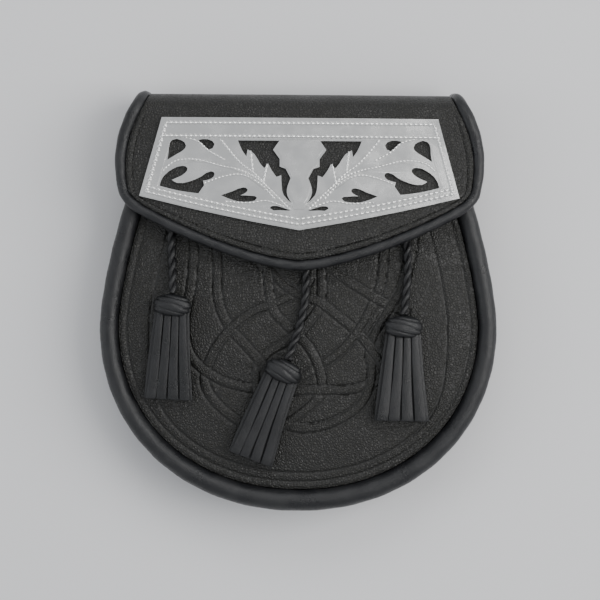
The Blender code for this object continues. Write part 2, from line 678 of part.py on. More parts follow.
def bend_to_flap(obj: bpy.types.Object) -> None:
    """Cut a flat plate along a grid and lay it on the flap's outer face."""
    bm = bmesh.new()
    bm.from_mesh(obj.data)
    bmesh.ops.transform(bm, matrix=obj.matrix_world, verts=bm.verts[:])
    lines = int(PLAQUE_CORNER_HALF / PLAQUE_CUT_STEP)
    for line in range(-lines, lines + 1):
        bmesh.ops.bisect_plane(bm, geom=bm.verts[:] + bm.edges[:] + bm.faces[:], dist=0.001 * MM,
                               plane_co=((line + 0.05) * PLAQUE_CUT_STEP, 0, 0), plane_no=(1, 0, 0))
    for share in PLAQUE_CROSS_CUTS:
        height = PLAQUE_TIP_Y + share * (PLAQUE_TOP_Y - PLAQUE_TIP_Y)
        bmesh.ops.bisect_plane(bm, geom=bm.verts[:] + bm.edges[:] + bm.faces[:], dist=0.001 * MM,
                               plane_co=(0, height, 0), plane_no=(0, 1, 0))
    bmesh.ops.triangulate(bm, faces=bm.faces[:])
    for vert in bm.verts:
        vert.co.z += flap_height(vert.co.x, vert.co.y) + FLAP_THICKNESS / 2 + GAP
    obj.matrix_world = Matrix.Identity(4)
    bm.to_mesh(obj.data)
    bm.free()


def join_now(obj: bpy.types.Object, others: list) -> None:
    """Join solids to an object at once, because its mesh is bent afterwards."""
    for other in others:
        boolean(obj, other, "UNION")
    bpy.context.view_layer.update()
    evaluated = obj.evaluated_get(bpy.context.evaluated_depsgraph_get())
    joined = bpy.data.meshes.new_from_object(evaluated)
    obj.modifiers.clear()
    obj.data = joined


def build_plaque(parts, cutters, metal) -> None:
    """Pierced plate with a raised frame, thistle and leaf ribs, bent to lie on the flap."""
    right = [[(point.x, point.y, point.sharp) for point in hole] for hole in PIERCINGS.values()]
    left = [[(-x, y, sharp) for x, y, sharp in reversed(hole)] for hole in right]
    plate = plaque_blank("plaque", plaque_outline(), right + left, 0.0, PLAQUE_THICKNESS, metal, parts)
    band_edge = plaque_outline(PLAQUE_BAND_EDGE, PLAQUE_BAND_EDGE, PLAQUE_BAND_EDGE)
    opening = [(x, y, True) for x, y in plaque_outline(PLAQUE_TOP_BAND, PLAQUE_SIDE_BAND, PLAQUE_BAND)]
    thistle = [(row.half_width, row.y) for row in THISTLE] + [(-row.half_width, row.y) for row in THISTLE[::-1]]
    raised = [
        plaque_blank("frame_shape", band_edge, [opening], PLAQUE_RAISED_FROM,
                     PLAQUE_THICKNESS + PLAQUE_FRAME_RAISE, metal, cutters),
        plaque_blank("thistle_shape", thistle, [], PLAQUE_RAISED_FROM,
                     PLAQUE_THICKNESS + PLAQUE_THISTLE_RAISE, metal, cutters),
    ]
    for name, points in LEAF_RIBS.items():
        for side in (-1, 1):
            rows = [(side * x, y) for x, y in points]
            route = [along_rows(rows, index * (len(rows) - 1) / RIB_STEPS) for index in range(RIB_STEPS + 1)]
            radii = [RIB_RADIUS * (1.1 - 0.6 * index / (len(route) - 1)) for index in range(len(route))]
            places = [(x, y, PLAQUE_THICKNESS - 0.1 * MM) for x, y in route]
            rib = tube(f"rib_shape_{name}_{'left' if side < 0 else 'right'}", places, radii, 1, metal, cutters)
            raised.append(bake(rib, cutters))
    join_now(plate, raised)
    bend_to_flap(plate)


def build_snap_stud(parts, metal) -> None:
    """Turned stud that closes the flap, standing on the front under it."""
    low = panel_height(0.0, STUD_Y - STUD_FLANGE_RADIUS) + GAP
    high = flap_height(0.0, STUD_Y + STUD_FLANGE_RADIUS) - FLAP_THICKNESS / 2 - GAP
    profile = [(0.0, high), (STUD_FLANGE_RADIUS, high), (STUD_FLANGE_RADIUS, high - STUD_FLANGE_HEIGHT),
               (STUD_POST_RADIUS, high - STUD_FLANGE_HEIGHT), (STUD_POST_RADIUS, low + STUD_FLANGE_HEIGHT),
               (STUD_FLANGE_RADIUS, low + STUD_FLANGE_HEIGHT), (STUD_FLANGE_RADIUS, low), (0.0, low)]
    bm = bmesh.new()
    verts = [bm.verts.new((x, 0.0, z)) for x, z in profile]
    for first, second in zip(verts, verts[1:]):
        bm.edges.new((first, second))
    stud = mesh_object("snap_stud", bm, metal, parts)
    stud.location.y = STUD_Y
    screw = stud.modifiers.new("Turn", "SCREW")
    screw.steps = screw.render_steps = STUD_STEPS
    screw.use_merge_vertices = True
    screw.merge_threshold = 0.01 * MM


def lay_on_front(obj: bpy.types.Object, tassel: Tassel) -> None:
    """Turn a flat piece of a tassel to its lean and lay it on the swelling front."""
    turn = Matrix.Translation((tassel.head_x, tassel.head_y, 0.0)) @ Matrix.Rotation(-tassel.lean, 4, "Z")
    for vert in obj.data.vertices:
        place = turn @ vert.co
        place.z += panel_height(place.x, place.y) + GAP
        vert.co = place


def tassel_head(tassel: Tassel, leather, parts) -> bpy.types.Object:
    """Wrapped head: a dome where the cord comes in."""
    bm = bmesh.new()
    bmesh.ops.create_uvsphere(bm, u_segments=12, v_segments=8, radius=1.0)
    for vert in bm.verts:
        vert.co.z = math.copysign(abs(vert.co.z) ** HEAD_SQUARENESS, vert.co.z)
    turn = Matrix.Rotation(math.pi / 2, 4, "X")
    size = Matrix.Diagonal((TASSEL_HEAD_HALF_WIDTH, TASSEL_HEAD_HALF_HEIGHT, TASSEL_HEAD_HALF_DEPTH, 1.0))
    place = Matrix.Translation((0.0, 0.0, TASSEL_HEAD_HALF_DEPTH))
    bmesh.ops.transform(bm, matrix=place @ size @ turn, verts=bm.verts[:])
    return mesh_object(f"tassel_{tassel.side}", bm, leather, parts)


def tassel_strips(tassel: Tassel, leather, cutters) -> bpy.types.Object:
    """The skirt's strips in layers, each running up into the head."""
    bm = bmesh.new()
    length = TASSEL_SKIRT + TASSEL_HEAD_HALF_HEIGHT
    for layer in STRIP_LAYERS:
        head_width = 2 * TASSEL_HEAD_HALF_WIDTH * layer.head_share
        foot_width = tassel.foot_width * layer.foot_share
        for index in range(layer.count):
            for vert in bmesh.ops.create_cube(bm, size=1.0)["verts"]:
                down = 0.5 - vert.co.y
                pitch = (head_width + (foot_width - head_width) * down) / layer.count
                x = (index - (layer.count - 1) / 2) * pitch + vert.co.x * (pitch - GAP)
                vert.co = (x, -down * length, layer.z + vert.co.z * STRIP_THICKNESS)
    long_edges = [edge for edge in bm.edges if edge.calc_length() > length / 2]
    bmesh.ops.subdivide_edges(bm, edges=long_edges, cuts=STRIP_CUTS)
    return mesh_object(f"strips_shape_{tassel.side}", bm, leather, cutters)


def build_tassels(parts, cutters, leather) -> None:
    """Three tassels and their cords, all lying on the front."""
    for tassel in TASSELS:
        head = tassel_head(tassel, leather, parts)
        strips = tassel_strips(tassel, leather, cutters)
        for piece in (head, strips):
            lay_on_front(piece, tassel)
        boolean(head, strips, "UNION")
        last = len(tassel.cord) - 1
        route = [CordPoint(*along_rows(tassel.cord, last * index / (CORD_POINTS - 1)))
                 for index in range(CORD_POINTS)]
        points = [(point.x, point.y, panel_height(point.x, point.y) + GAP + CORD_RADIUS + point.lift)
                  for point in route]
        tube(f"tassel_cord_{tassel.side}", points, [CORD_RADIUS] * CORD_POINTS, 2, leather, parts)


def main() -> None:
    """Build the whole pouch."""
    clear_scene()
    parts = make_collection("sporran_pouch")
    cutters = make_collection("shapes_joined_to_parts")
    grained = make_material("grained_leather", (0.018, 0.018, 0.014), 0.45)
    smooth = make_material("smooth_leather", (0.016, 0.017, 0.019), 0.35)
    metal = make_material("plaque_metal", (0.78, 0.78, 0.78), 0.25, 1.0)
    stud_metal = make_material("stud_metal", (0.60, 0.60, 0.60), 0.35, 1.0)
    build_back_panel(parts, cutters, grained)
    build_strap_loops(parts, smooth)
    build_gusset(parts, smooth)
    build_body_binding(parts, smooth)
    build_front_panel(parts, grained)
    build_flap(parts, grained)
    build_flap_binding(parts, smooth)
    build_plaque(parts, cutters, metal)
    build_snap_stud(parts, stud_metal)
    build_tassels(parts, cutters, smooth)


main()
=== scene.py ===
"""Looks of the sporran pouch: leathers, piped edges, knotwork, pierced plaque, cords and tassels."""
import logging
import math
from dataclasses import dataclass
from enum import Enum
from typing import Callable, NamedTuple

import bmesh
import bpy
import numpy as np
from mathutils import Matrix, Vector, noise


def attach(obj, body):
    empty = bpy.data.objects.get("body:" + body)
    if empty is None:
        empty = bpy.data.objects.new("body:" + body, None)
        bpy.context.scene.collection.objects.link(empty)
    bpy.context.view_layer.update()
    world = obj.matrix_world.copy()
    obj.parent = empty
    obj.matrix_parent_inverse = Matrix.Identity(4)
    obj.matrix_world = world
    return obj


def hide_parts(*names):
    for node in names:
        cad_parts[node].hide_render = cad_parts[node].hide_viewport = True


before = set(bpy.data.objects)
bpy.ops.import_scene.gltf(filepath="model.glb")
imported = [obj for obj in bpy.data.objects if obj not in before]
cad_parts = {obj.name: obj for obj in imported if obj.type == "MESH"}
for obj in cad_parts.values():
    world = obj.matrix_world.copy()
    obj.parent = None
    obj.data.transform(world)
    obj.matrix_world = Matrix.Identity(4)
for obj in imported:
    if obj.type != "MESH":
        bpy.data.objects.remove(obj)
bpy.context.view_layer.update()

LOG = logging.getLogger("sporran_pouch")

MM = 0.001
GAP = 0.3 * MM
WELD = 0.01 * MM
ROOT = "root"


# Shapes that several pieces share

def ease(share: np.ndarray) -> np.ndarray:
    """Go from 0 to 1 with a level start and end."""
    share = np.clip(share, 0.0, 1.0)
    return share * share * (3 - 2 * share)


def bump(distance: np.ndarray, width: float) -> np.ndarray:
    """Soft hump of height 1 at distance 0."""
    return np.exp(-(distance / width) ** 2)


def along_rows(rows: np.ndarray, position: np.ndarray) -> np.ndarray:
    """Read a table of rows at positions between them, on a smooth curve through the rows.

    Args:
        rows: One row for each whole position.
        position: Places to read, from 0 to the number of rows less one.

    Returns:
        One row for each position.
    """
    position = np.clip(np.asarray(position, float), 0.0, len(rows) - 1.0)
    start = np.minimum(position.astype(int), len(rows) - 2)
    share = (position - start)[..., None]
    doubled = np.concatenate((rows[:1], rows, rows[-1:]))
    a, b, c, d = (doubled[start + step] for step in range(4))
    return 0.5 * (2 * b + (c - a) * share + (2 * a - 5 * b + 4 * c - d) * share ** 2
                  + (3 * b - a - 3 * c + d) * share ** 3)


def smooth_line(rows: np.ndarray, spacing: float) -> np.ndarray:
    """Draw a smooth line through a few points, as even short steps.

    Args:
        rows: The points, in order.
        spacing: Length of one step in metres.

    Returns:
        The points of the smooth line.
    """
    rows = np.asarray(rows, float)
    dense = along_rows(rows, np.linspace(0, len(rows) - 1, 40 * len(rows)))
    lengths = np.linalg.norm(np.diff(dense, axis=0), axis=1)
    reached = np.concatenate(([0.0], np.cumsum(lengths)))
    count = max(int(round(reached[-1] / spacing)) + 1, 2)
    even = np.linspace(0, reached[-1], count)
    return np.stack([np.interp(even, reached, dense[:, axis]) for axis in range(dense.shape[1])], 1)


def measure_line(points: np.ndarray, line: np.ndarray) -> tuple:
    """Measure how far points lie from a line and where along it.

    Args:
        points: Places in x and y.
        line: Points of the line in x and y.

    Returns:
        Distance from the line, length along it, and distance to its left.
    """
    best = np.full(len(points), np.inf)
    along = np.zeros(len(points))
    left = np.zeros(len(points))
    reached = 0.0
    for start, end in zip(line[:-1], line[1:]):
        step = end - start
        length = max(float(np.hypot(*step)), WELD * MM)
        away = points - start
        share = np.clip((away @ step) / length ** 2, 0.0, 1.0)
        off = away - share[:, None] * step
        squared = off[:, 0] ** 2 + off[:, 1] ** 2
        closer = squared < best
        best[closer] = squared[closer]
        along[closer] = reached + share[closer] * length
        left[closer] = (step[0] * away[closer, 1] - step[1] * away[closer, 0]) / length
        reached += length
    return np.sqrt(best), along, left


def measure_outline(points: np.ndarray, outline: np.ndarray) -> tuple:
    """Measure how far points lie inside a closed outline.

    Args:
        points: Places in x and y.
        outline: Points of the closed outline in x and y.

    Returns:
        Distance inside the outline, below zero outside it, and the nearest place on it.
    """
    best = np.full(len(points), np.inf)
    nearest = points.copy()
    inside = np.zeros(len(points), bool)
    x, y = points[:, 0], points[:, 1]
    for start, end in zip(outline, np.roll(outline, -1, axis=0)):
        step = end - start
        share = np.clip(((points - start) @ step) / max(float(step @ step), WELD ** 2), 0.0, 1.0)
        place = start + share[:, None] * step
        squared = ((points - place) ** 2).sum(1)
        closer = squared < best
        best[closer] = squared[closer]
        nearest[closer] = place[closer]
        spans = (start[1] > y) != (end[1] > y)
        if spans.any():
            inside ^= spans & (x < step[0] * (y - start[1]) / (step[1] or WELD) + start[0])
    return np.where(inside, 1.0, -1.0) * np.sqrt(best), nearest


def cloudy(points: np.ndarray, size: float, seed: float) -> np.ndarray:
    """Slow irregular waves between about -1 and 1.

    Args:
        points: Places in x, y and z.
        size: Width of one wave in metres.
        seed: Offset that gives each piece waves of its own.

    Returns:
        One value for each place.
    """
    offset = Vector((seed, seed * 0.7, seed * 1.3))
    return np.array([noise.noise(Vector(place) / size + offset) for place in points])


@dataclass(frozen=True)
class PouchForm:
    """Sizes of the pouch that its pieces are fitted to, as the CAD part has them."""

    half_width: float = 92.5 * MM
    widest_y: float = -11.6 * MM
    drop: float = 86.2 * MM
    roundness: float = 2.1
    shoulder_taper: float = 24.7 * MM
    shoulder_rise: float = 95.6 * MM
    shoulder_power: float = 1.5
    lower_share: float = 0.6
    outline_step: float = 0.004
    mouth_y: float = 80 * MM
    binding_z: float = 27 * MM
    panel_edge_z: float = 27.5 * MM
    panel_crown: float = 5.5 * MM
    panel_crown_power: float = 2.2
    mouth_crown_loss: float = 0.45
    panel_top_y: float = 78 * MM
    roll_side_radius: float = 4.3 * MM
    roll_bottom_radius: float = 5.0 * MM
    flap_front_y: float = 86 * MM
    flap_front_z: float = 35.2 * MM
    flap_tip_y: float = 14 * MM
    flap_tip_z: float = 40.4 * MM
    flap_v_rise: float = 28 * MM
    flap_v_reach: float = 79 * MM
    flap_v_power: float = 1.55
    flap_corner_rise: float = 3.6 * MM
    flap_corner_power: float = 30
    flap_corner_x: float = 83.6 * MM
    flap_widest: float = 85.7 * MM
    flap_widest_y: float = 64.8 * MM
    flap_upper_taper: float = 11.1 * MM
    flap_upper_rise: float = 31.7 * MM
    flap_lower_taper: float = 2.1 * MM
    flap_lower_drop: float = 15.3 * MM
    flap_crown: float = 3.2 * MM
    flap_thickness: float = 2.4 * MM

    def body_half_width(self, y: np.ndarray) -> np.ndarray:
        """Half the width of the body's outline at heights."""
        rise = np.clip((y - self.widest_y) / self.shoulder_rise, 0.0, None)
        fall = np.clip((self.widest_y - y) / self.drop, 0.0, 1.0)
        upper = self.half_width - self.shoulder_taper * rise ** self.shoulder_power
        lower = self.half_width * (1 - fall ** self.roundness) ** (1 / self.roundness)
        return np.where(y >= self.widest_y, upper, lower)

    def body_outline(self, position: np.ndarray, top_y: float) -> np.ndarray:
        """Points of the body's outline, from -1 at its upper left end over 0 at the bottom to 1."""
        side, share = np.sign(position), np.abs(position)
        straight = share > self.lower_share
        climb = (share - self.lower_share) / (1 - self.lower_share)
        upper_y = self.widest_y + climb * (top_y - self.widest_y)
        angle = np.clip(share / self.lower_share, 0.0, 1.0) * math.pi / 2
        power = 2 / self.roundness
        lower_x = self.half_width * np.sin(angle) ** power
        lower_y = self.widest_y - self.drop * np.clip(np.cos(angle), 0.0, 1.0) ** power
        x = np.where(straight, self.body_half_width(upper_y), lower_x)
        return np.stack((side * x, np.where(straight, upper_y, lower_y)), -1)

    def inside_outline(self, position: np.ndarray, inset: np.ndarray, top_y: float) -> np.ndarray:
        """Points inside the body's outline by an inset, square to it."""
        ahead = self.body_outline(np.minimum(position + self.outline_step, 1.0), top_y)
        behind = self.body_outline(np.maximum(position - self.outline_step, -1.0), top_y)
        direction = ahead - behind
        direction /= np.linalg.norm(direction, axis=-1, keepdims=True)
        square = np.stack((-direction[..., 1], direction[..., 0]), -1)
        return self.body_outline(position, top_y) + np.asarray(inset)[..., None] * square

    def roll_radius(self, position: np.ndarray) -> np.ndarray:
        """Radius of the roll round the front, fuller at the bottom than at the sides."""
        fullness = ease(1 - np.abs(position) / self.lower_share)
        return self.roll_side_radius + (self.roll_bottom_radius - self.roll_side_radius) * fullness

    def panel_height(self, x: np.ndarray, y: np.ndarray) -> np.ndarray:
        """Height of the front leather's outer face, swelling from its edge to its middle."""
        edge = 2 * self.roll_side_radius
        across = np.abs(x) / (self.body_half_width(np.maximum(y, self.widest_y)) - edge)
        down = np.maximum(self.widest_y - y, 0.0) / (self.drop - edge)
        reach = np.minimum(np.sqrt(across ** 2 + down ** 2), 1.0)
        loss = self.mouth_crown_loss * ease((y - self.widest_y) / (self.panel_top_y - self.widest_y))
        return self.panel_edge_z + self.panel_crown * (1 - loss) * (1 - reach ** self.panel_crown_power)

    def flap_height(self, x: np.ndarray, y: np.ndarray) -> np.ndarray:
        """Height of the middle of the flap's leather on its front."""
        slope = ease((self.flap_front_y - y) / (self.flap_front_y - self.flap_tip_y))
        raised = self.flap_front_z + (self.flap_tip_z - self.flap_front_z) * slope
        return raised - self.flap_crown * (x / self.flap_widest) ** 2

    def flap_half_width(self, y: np.ndarray) -> np.ndarray:
        """Half the width of the flap's front, its binding included."""
        above = np.maximum(y - self.flap_widest_y, 0.0) / self.flap_upper_rise
        below = np.maximum(self.flap_widest_y - y, 0.0) / self.flap_lower_drop
        return self.flap_widest - self.flap_upper_taper * above ** 2 - self.flap_lower_taper * below ** 2

    def flap_edge(self, x: np.ndarray, inset: float) -> np.ndarray:
        """Height on the page of the flap's V edge, inside its binding's outside by an inset."""
        reach = np.abs(x) / self.flap_v_reach
        slope = self.flap_v_rise / self.flap_v_reach * self.flap_v_power * reach ** (self.flap_v_power - 1)
        corner = self.flap_corner_rise * (np.abs(x) / (self.flap_corner_x - inset)) ** self.flap_corner_power
        edge = self.flap_tip_y + self.flap_v_rise * reach ** self.flap_v_power
        return edge + inset * np.hypot(1.0, slope) + corner

    def flap_fold_point(self, across: np.ndarray, share: np.ndarray, inset: np.ndarray) -> np.ndarray:
        """Points of the fold: across from -1 to 1, share from 0 at the hem to 1 at the front."""
        row = along_rows(FLAP_FOLD, share * (len(FLAP_FOLD) - 1))
        y, z, half_width, crown = np.moveaxis(row, -1, 0)
        x = across * (half_width - inset)
        return np.stack((x, y, z - crown / MM * self.flap_crown * (x / self.flap_widest) ** 2), -1)

    def flap_front_point(self, across: np.ndarray, share: np.ndarray, inset: np.ndarray) -> np.ndarray:
        """Points of the flap's front: share from 0 at the fold to 1 at the V edge."""
        corner = self.flap_edge(self.flap_corner_x - inset, inset)
        side_y = self.flap_front_y + (corner - self.flap_front_y) * share
        edge = self.flap_edge(across * (self.flap_corner_x - inset), inset)
        x = across * (self.flap_half_width(side_y) - inset)
        y = self.flap_front_y + (edge - self.flap_front_y) * share
        return np.stack((x, y, self.flap_height(x, y)), -1)


class FoldRow(NamedTuple):
    """One line across the flap's fold, from its hem behind to its front, in millimetres."""

    y: float
    z: float
    half_width: float
    crown: float


FLAP_FOLD = MM * np.array([
    FoldRow(62, 1.3, 66, 0), FoldRow(74, 1.3, 67.5, 0), FoldRow(84.2, 1.6, 69.5, 0),
    FoldRow(91, 4.8, 71.8, 0.1), FoldRow(94.5, 10.8, 73.4, 0.25), FoldRow(95.4, 18.8, 74.6, 0.4),
    FoldRow(94.5, 26.8, 76, 0.6), FoldRow(91.2, 32.6, 78, 0.85), FoldRow(86, 35.2, 80.7, 1)])
FORM = PouchForm()


# Finishes

class Slot(Enum):
    """Material slots of the record."""

    GRAINED = "grained_leather"
    SMOOTH = "smooth_leather"
    TASSEL = "tassel_leather"
    CORD = "cord_leather"
    PLAQUE = "plaque_metal"
    STUD = "stud_metal"


class NodeSheet:
    """The nodes of one finish, with short ways to add them."""

    def __init__(self, name: str) -> None:
        """Start a material with its surface shader."""
        self.material = bpy.data.materials.new(name)
        self.material.use_nodes = True
        self.nodes = self.material.node_tree.nodes
        self.surface = self.nodes["Principled BSDF"]

    def feed(self, socket: bpy.types.NodeSocket, source: object) -> None:
        """Set a socket to a number or colour, or link another node's output to it."""
        if isinstance(source, bpy.types.NodeSocket):
            self.material.node_tree.links.new(source, socket)
        else:
            socket.default_value = source

    def place(self) -> bpy.types.NodeSocket:
        """Place on the piece, in metres."""
        return self.nodes.new("ShaderNodeTexCoord").outputs["Object"]

    def attribute(self, name: str) -> bpy.types.NodeSocket:
        """Value that the piece's own mesh carries."""
        node = self.nodes.new("ShaderNodeAttribute")
        node.attribute_name = name
        return node.outputs["Fac"]

    def maths(self, operation: str, *sources: object) -> bpy.types.NodeSocket:
        """Work out one number from one or two others."""
        node = self.nodes.new("ShaderNodeMath")
        node.operation = operation
        for socket, source in zip(node.inputs, sources):
            self.feed(socket, source)
        return node.outputs[0]

    def waves(self, place: bpy.types.NodeSocket, size: float, detail: float = 3.0) -> bpy.types.NodeSocket:
        """Cloudy pattern from 0 to 1 whose waves have a size in metres."""
        node = self.nodes.new("ShaderNodeTexNoise")
        self.feed(node.inputs["Vector"], place)
        node.inputs["Scale"].default_value = 1 / size
        node.inputs["Detail"].default_value = detail
        return node.outputs["Fac"]

    def shifted(self, place: bpy.types.NodeSocket, size: float, reach: float) -> bpy.types.NodeSocket:
        """Places pushed about a little, so that a pattern on them isn't regular."""
        node = self.nodes.new("ShaderNodeTexNoise")
        self.feed(node.inputs["Vector"], place)
        node.inputs["Scale"].default_value = 1 / size
        node.inputs["Detail"].default_value = 2.0
        push = self.nodes.new("ShaderNodeVectorMath")
        push.operation = "MULTIPLY_ADD"
        self.feed(push.inputs[0], node.outputs["Color"])
        push.inputs[1].default_value = (reach, reach, reach)
        self.feed(push.inputs[2], place)
        return push.outputs[0]

    def cells(self, place: bpy.types.NodeSocket, size: float) -> bpy.types.NodeSocket:
        """Distance from the edge of irregular cells of a size in metres."""
        node = self.nodes.new("ShaderNodeTexVoronoi")
        node.feature = "DISTANCE_TO_EDGE"
        self.feed(node.inputs["Vector"], place)
        node.inputs["Scale"].default_value = 1 / size
        return node.outputs["Distance"]

    def span(self, value: object, source: tuple, target: tuple) -> bpy.types.NodeSocket:
        """Carry a value smoothly from one range to another."""
        node = self.nodes.new("ShaderNodeMapRange")
        node.interpolation_type = "SMOOTHSTEP"
        for socket, setting in zip(node.inputs, (value, *source, *target)):
            self.feed(socket, setting)
        return node.outputs[0]

    def mixed(self, share: object, first: object, second: object) -> bpy.types.NodeSocket:
        """Colour between two others."""
        node = self.nodes.new("ShaderNodeMix")
        node.data_type = "RGBA"
        sockets = [socket for socket in node.inputs if socket.type == "RGBA"]
        self.feed(node.inputs["Factor"], share)
        self.feed(sockets[0], first)
        self.feed(sockets[1], second)
        return next(socket for socket in node.outputs if socket.type == "RGBA")

    def relief(self, height: object, depth: float, below: object = None) -> bpy.types.NodeSocket:
        """Raise the surface by a height times a depth in metres."""
        node = self.nodes.new("ShaderNodeBump")
        node.inputs["Distance"].default_value = depth
        self.feed(node.inputs["Height"], height)
        if below is not None:
            self.feed(node.inputs["Normal"], below)
        return node.outputs["Normal"]

    def finish(self, colour: object, roughness: object, normal: object) -> bpy.types.Material:
        """Join the worked-out colour, roughness and relief to the surface."""
        self.feed(self.surface.inputs["Base Color"], colour)
        self.feed(self.surface.inputs["Roughness"], roughness)
        self.feed(self.surface.inputs["Normal"], normal)
        return self.material


@dataclass(frozen=True)
class GrainedLeather:
    """Black leather printed with a small pebbled grain."""

    name: str = "pebbled_leather"
    cell: float = 1.25 * MM
    # crease is the darker tone, painted shade in the creases and pressed lines; crown is the lighter,
    # yellower tone, a painted highlight on the pebble tops.
    crease: tuple = (0.004, 0.004, 0.0035, 1.0)
    crown: tuple = (0.016, 0.0155, 0.012, 1.0)
    gloss: tuple = (0.34, 0.52)
    depth: float = 0.20 * MM
    pore_depth: float = 0.03 * MM
    pressed_loss: float = 0.75

    def material(self) -> bpy.types.Material:
        """Pebbles parted by fine creases, with a painted highlight on their crowns and painted shade in the
        creases; flatter, and darker with painted shade, where the tool pressed.
        """
        sheet = NodeSheet(self.name)
        place = sheet.place()
        wandering = sheet.shifted(place, 3.0 * MM, 1.1 * MM)
        edge = sheet.cells(wandering, self.cell)
        pebble = sheet.span(edge, (0.0, 0.30), (0.0, 1.0))
        worn = sheet.waves(place, 14 * MM, 2.0)
        pores = sheet.waves(place, 0.35 * MM, 2.0)
        pressed = sheet.attribute("pressed")
        kept = sheet.maths("SUBTRACT", 1.0, sheet.maths("MULTIPLY", pressed, self.pressed_loss))
        height = sheet.maths("MULTIPLY", pebble, kept)
        normal = sheet.relief(height, self.depth)
        normal = sheet.relief(pores, self.pore_depth, normal)
        # Painted highlight on the pebble crowns, varied at random by the worn cloud and taken away along the
        # pressed lines, which keep the darker crease tone as painted shade.
        painted_crown_highlight = sheet.maths("MULTIPLY", sheet.maths("MULTIPLY", pebble, kept),
                            sheet.span(worn, (0.2, 0.8), (0.65, 1.0)))
        colour = sheet.mixed(painted_crown_highlight, self.crease, self.crown)
        rough = sheet.span(sheet.maths("ADD", worn, sheet.maths("MULTIPLY", pores, 0.3)),
                           (0.3, 0.95), self.gloss)
        sheet.surface.inputs["Specular IOR Level"].default_value = 0.5
        return sheet.finish(colour, rough, normal)


@dataclass(frozen=True)
class SmoothLeather:
    """Black leather with a close soft shine and faint stretch lines, for rolls and straps."""

    name: str = "rolled_leather"
    base: tuple = (0.006, 0.0065, 0.008, 1.0)
    worn: tuple = (0.014, 0.0145, 0.016, 1.0)
    gloss: tuple = (0.26, 0.42)
    line_size: float = 1.6 * MM
    line_depth: float = 0.10 * MM
    pore_size: float = 0.5 * MM
    pore_depth: float = 0.04 * MM

    def material(self) -> bpy.types.Material:
        """Soft lines and fine pores under a thin dressing."""
        sheet = NodeSheet(self.name)
        place = sheet.place()
        lines = sheet.waves(sheet.shifted(place, 6 * MM, 3 * MM), self.line_size, 3.0)
        pores = sheet.cells(sheet.shifted(place, 1.5 * MM, 0.5 * MM), self.pore_size)
        cloud = sheet.waves(place, 11 * MM, 3.0)
        normal = sheet.relief(lines, self.line_depth)
        normal = sheet.relief(sheet.span(pores, (0.0, 0.25), (0.0, 1.0)), self.pore_depth, normal)
        colour = sheet.mixed(sheet.span(cloud, (0.35, 0.7), (0.0, 1.0)), self.base, self.worn)
        rough = sheet.span(sheet.maths("ADD", cloud, sheet.maths("MULTIPLY", lines, 0.4)),
                           (0.4, 1.0), self.gloss)
        return sheet.finish(colour, rough, normal)


@dataclass(frozen=True)
class CastMetal:
    """Bright cast and plated metal, darkened where dirt gathers in its cuts."""

    name: str = "bright_cast_metal"
    bright: tuple = (0.80, 0.80, 0.79, 1.0)
    dull: tuple = (0.16, 0.16, 0.155, 1.0)
    gloss: tuple = (0.16, 0.30)
    dull_gloss: float = 0.5
    grain_size: float = 0.5 * MM
    grain_depth: float = 0.02 * MM

    def material(self) -> bpy.types.Material:
        """Polished crowns, satin flats and darker cuts."""
        sheet = NodeSheet(self.name)
        place = sheet.place()
        recess = sheet.attribute("recess")
        grain = sheet.waves(place, self.grain_size, 3.0)
        cloud = sheet.waves(place, 7 * MM, 3.0)
        soiled = sheet.maths("MINIMUM", sheet.maths("MULTIPLY", recess,
                                                    sheet.span(cloud, (0.2, 0.7), (0.7, 1.15))), 1.0)
        colour = sheet.mixed(soiled, self.bright, self.dull)
        polished = sheet.span(sheet.maths("ADD", cloud, sheet.maths("MULTIPLY", grain, 0.4)),
                              (0.4, 1.0), self.gloss)
        rough = sheet.maths("ADD", polished, sheet.maths("MULTIPLY", soiled, self.dull_gloss))
        sheet.surface.inputs["Metallic"].default_value = 1.0
        return sheet.finish(colour, rough, sheet.relief(grain, self.grain_depth))


@dataclass(frozen=True)
class StudioFloor:
    """Pale smooth table top."""

    name: str = "pale_table"
    tone: tuple = (0.80, 0.80, 0.815, 1.0)
    second: tuple = (0.79, 0.79, 0.80, 1.0)

    def material(self) -> bpy.types.Material:
        """Nearly even pale grey with a faint cloud."""
        sheet = NodeSheet(self.name)
        cloud = sheet.waves(sheet.place(), 60 * MM, 2.0)
        colour = sheet.mixed(cloud, self.tone, self.second)
        rough = sheet.span(cloud, (0.3, 0.7), (0.75, 0.85))
        return sheet.finish(colour, rough, sheet.relief(cloud, 0.01 * MM))


# Tools of the bench

def give_piece(name: str, bm: bmesh.types.BMesh, material: bpy.types.Material,
               nodes: tuple = (), crease_deg: float = 60.0) -> bpy.types.Object:
    """Turn a shaped bmesh into a finished piece that rides on the pouch.

    Args:
        name: Name of the piece.
        bm: Its shape, freed here.
        material: Its finish.
        nodes: CAD nodes that it stands for.
        crease_deg: Edges that turn by more than this stay sharp.

    Returns:
        The new object.
    """
    mesh = bpy.data.meshes.new(name)
    bm.to_mesh(mesh)
    bm.free()
    mesh.shade_smooth()
    mesh.set_sharp_from_angle(angle=math.radians(crease_deg))
    mesh.materials.append(material)
    piece = bpy.data.objects.new(name, mesh)
    bpy.context.scene.collection.objects.link(piece)
    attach(piece, ROOT)
    if nodes:
        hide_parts(*nodes)
    LOG.info("%s: %d faces", name, len(mesh.polygons))
    return piece


def thicken(piece: bpy.types.Object, thickness: float, offset: float) -> None:
    """Give a sheet its wall, centred with offset 0 or below its face with offset -1."""
    wall = piece.modifiers.new("Wall", "SOLIDIFY")
    wall.thickness = thickness
    wall.offset = offset
    wall.use_even_offset = True


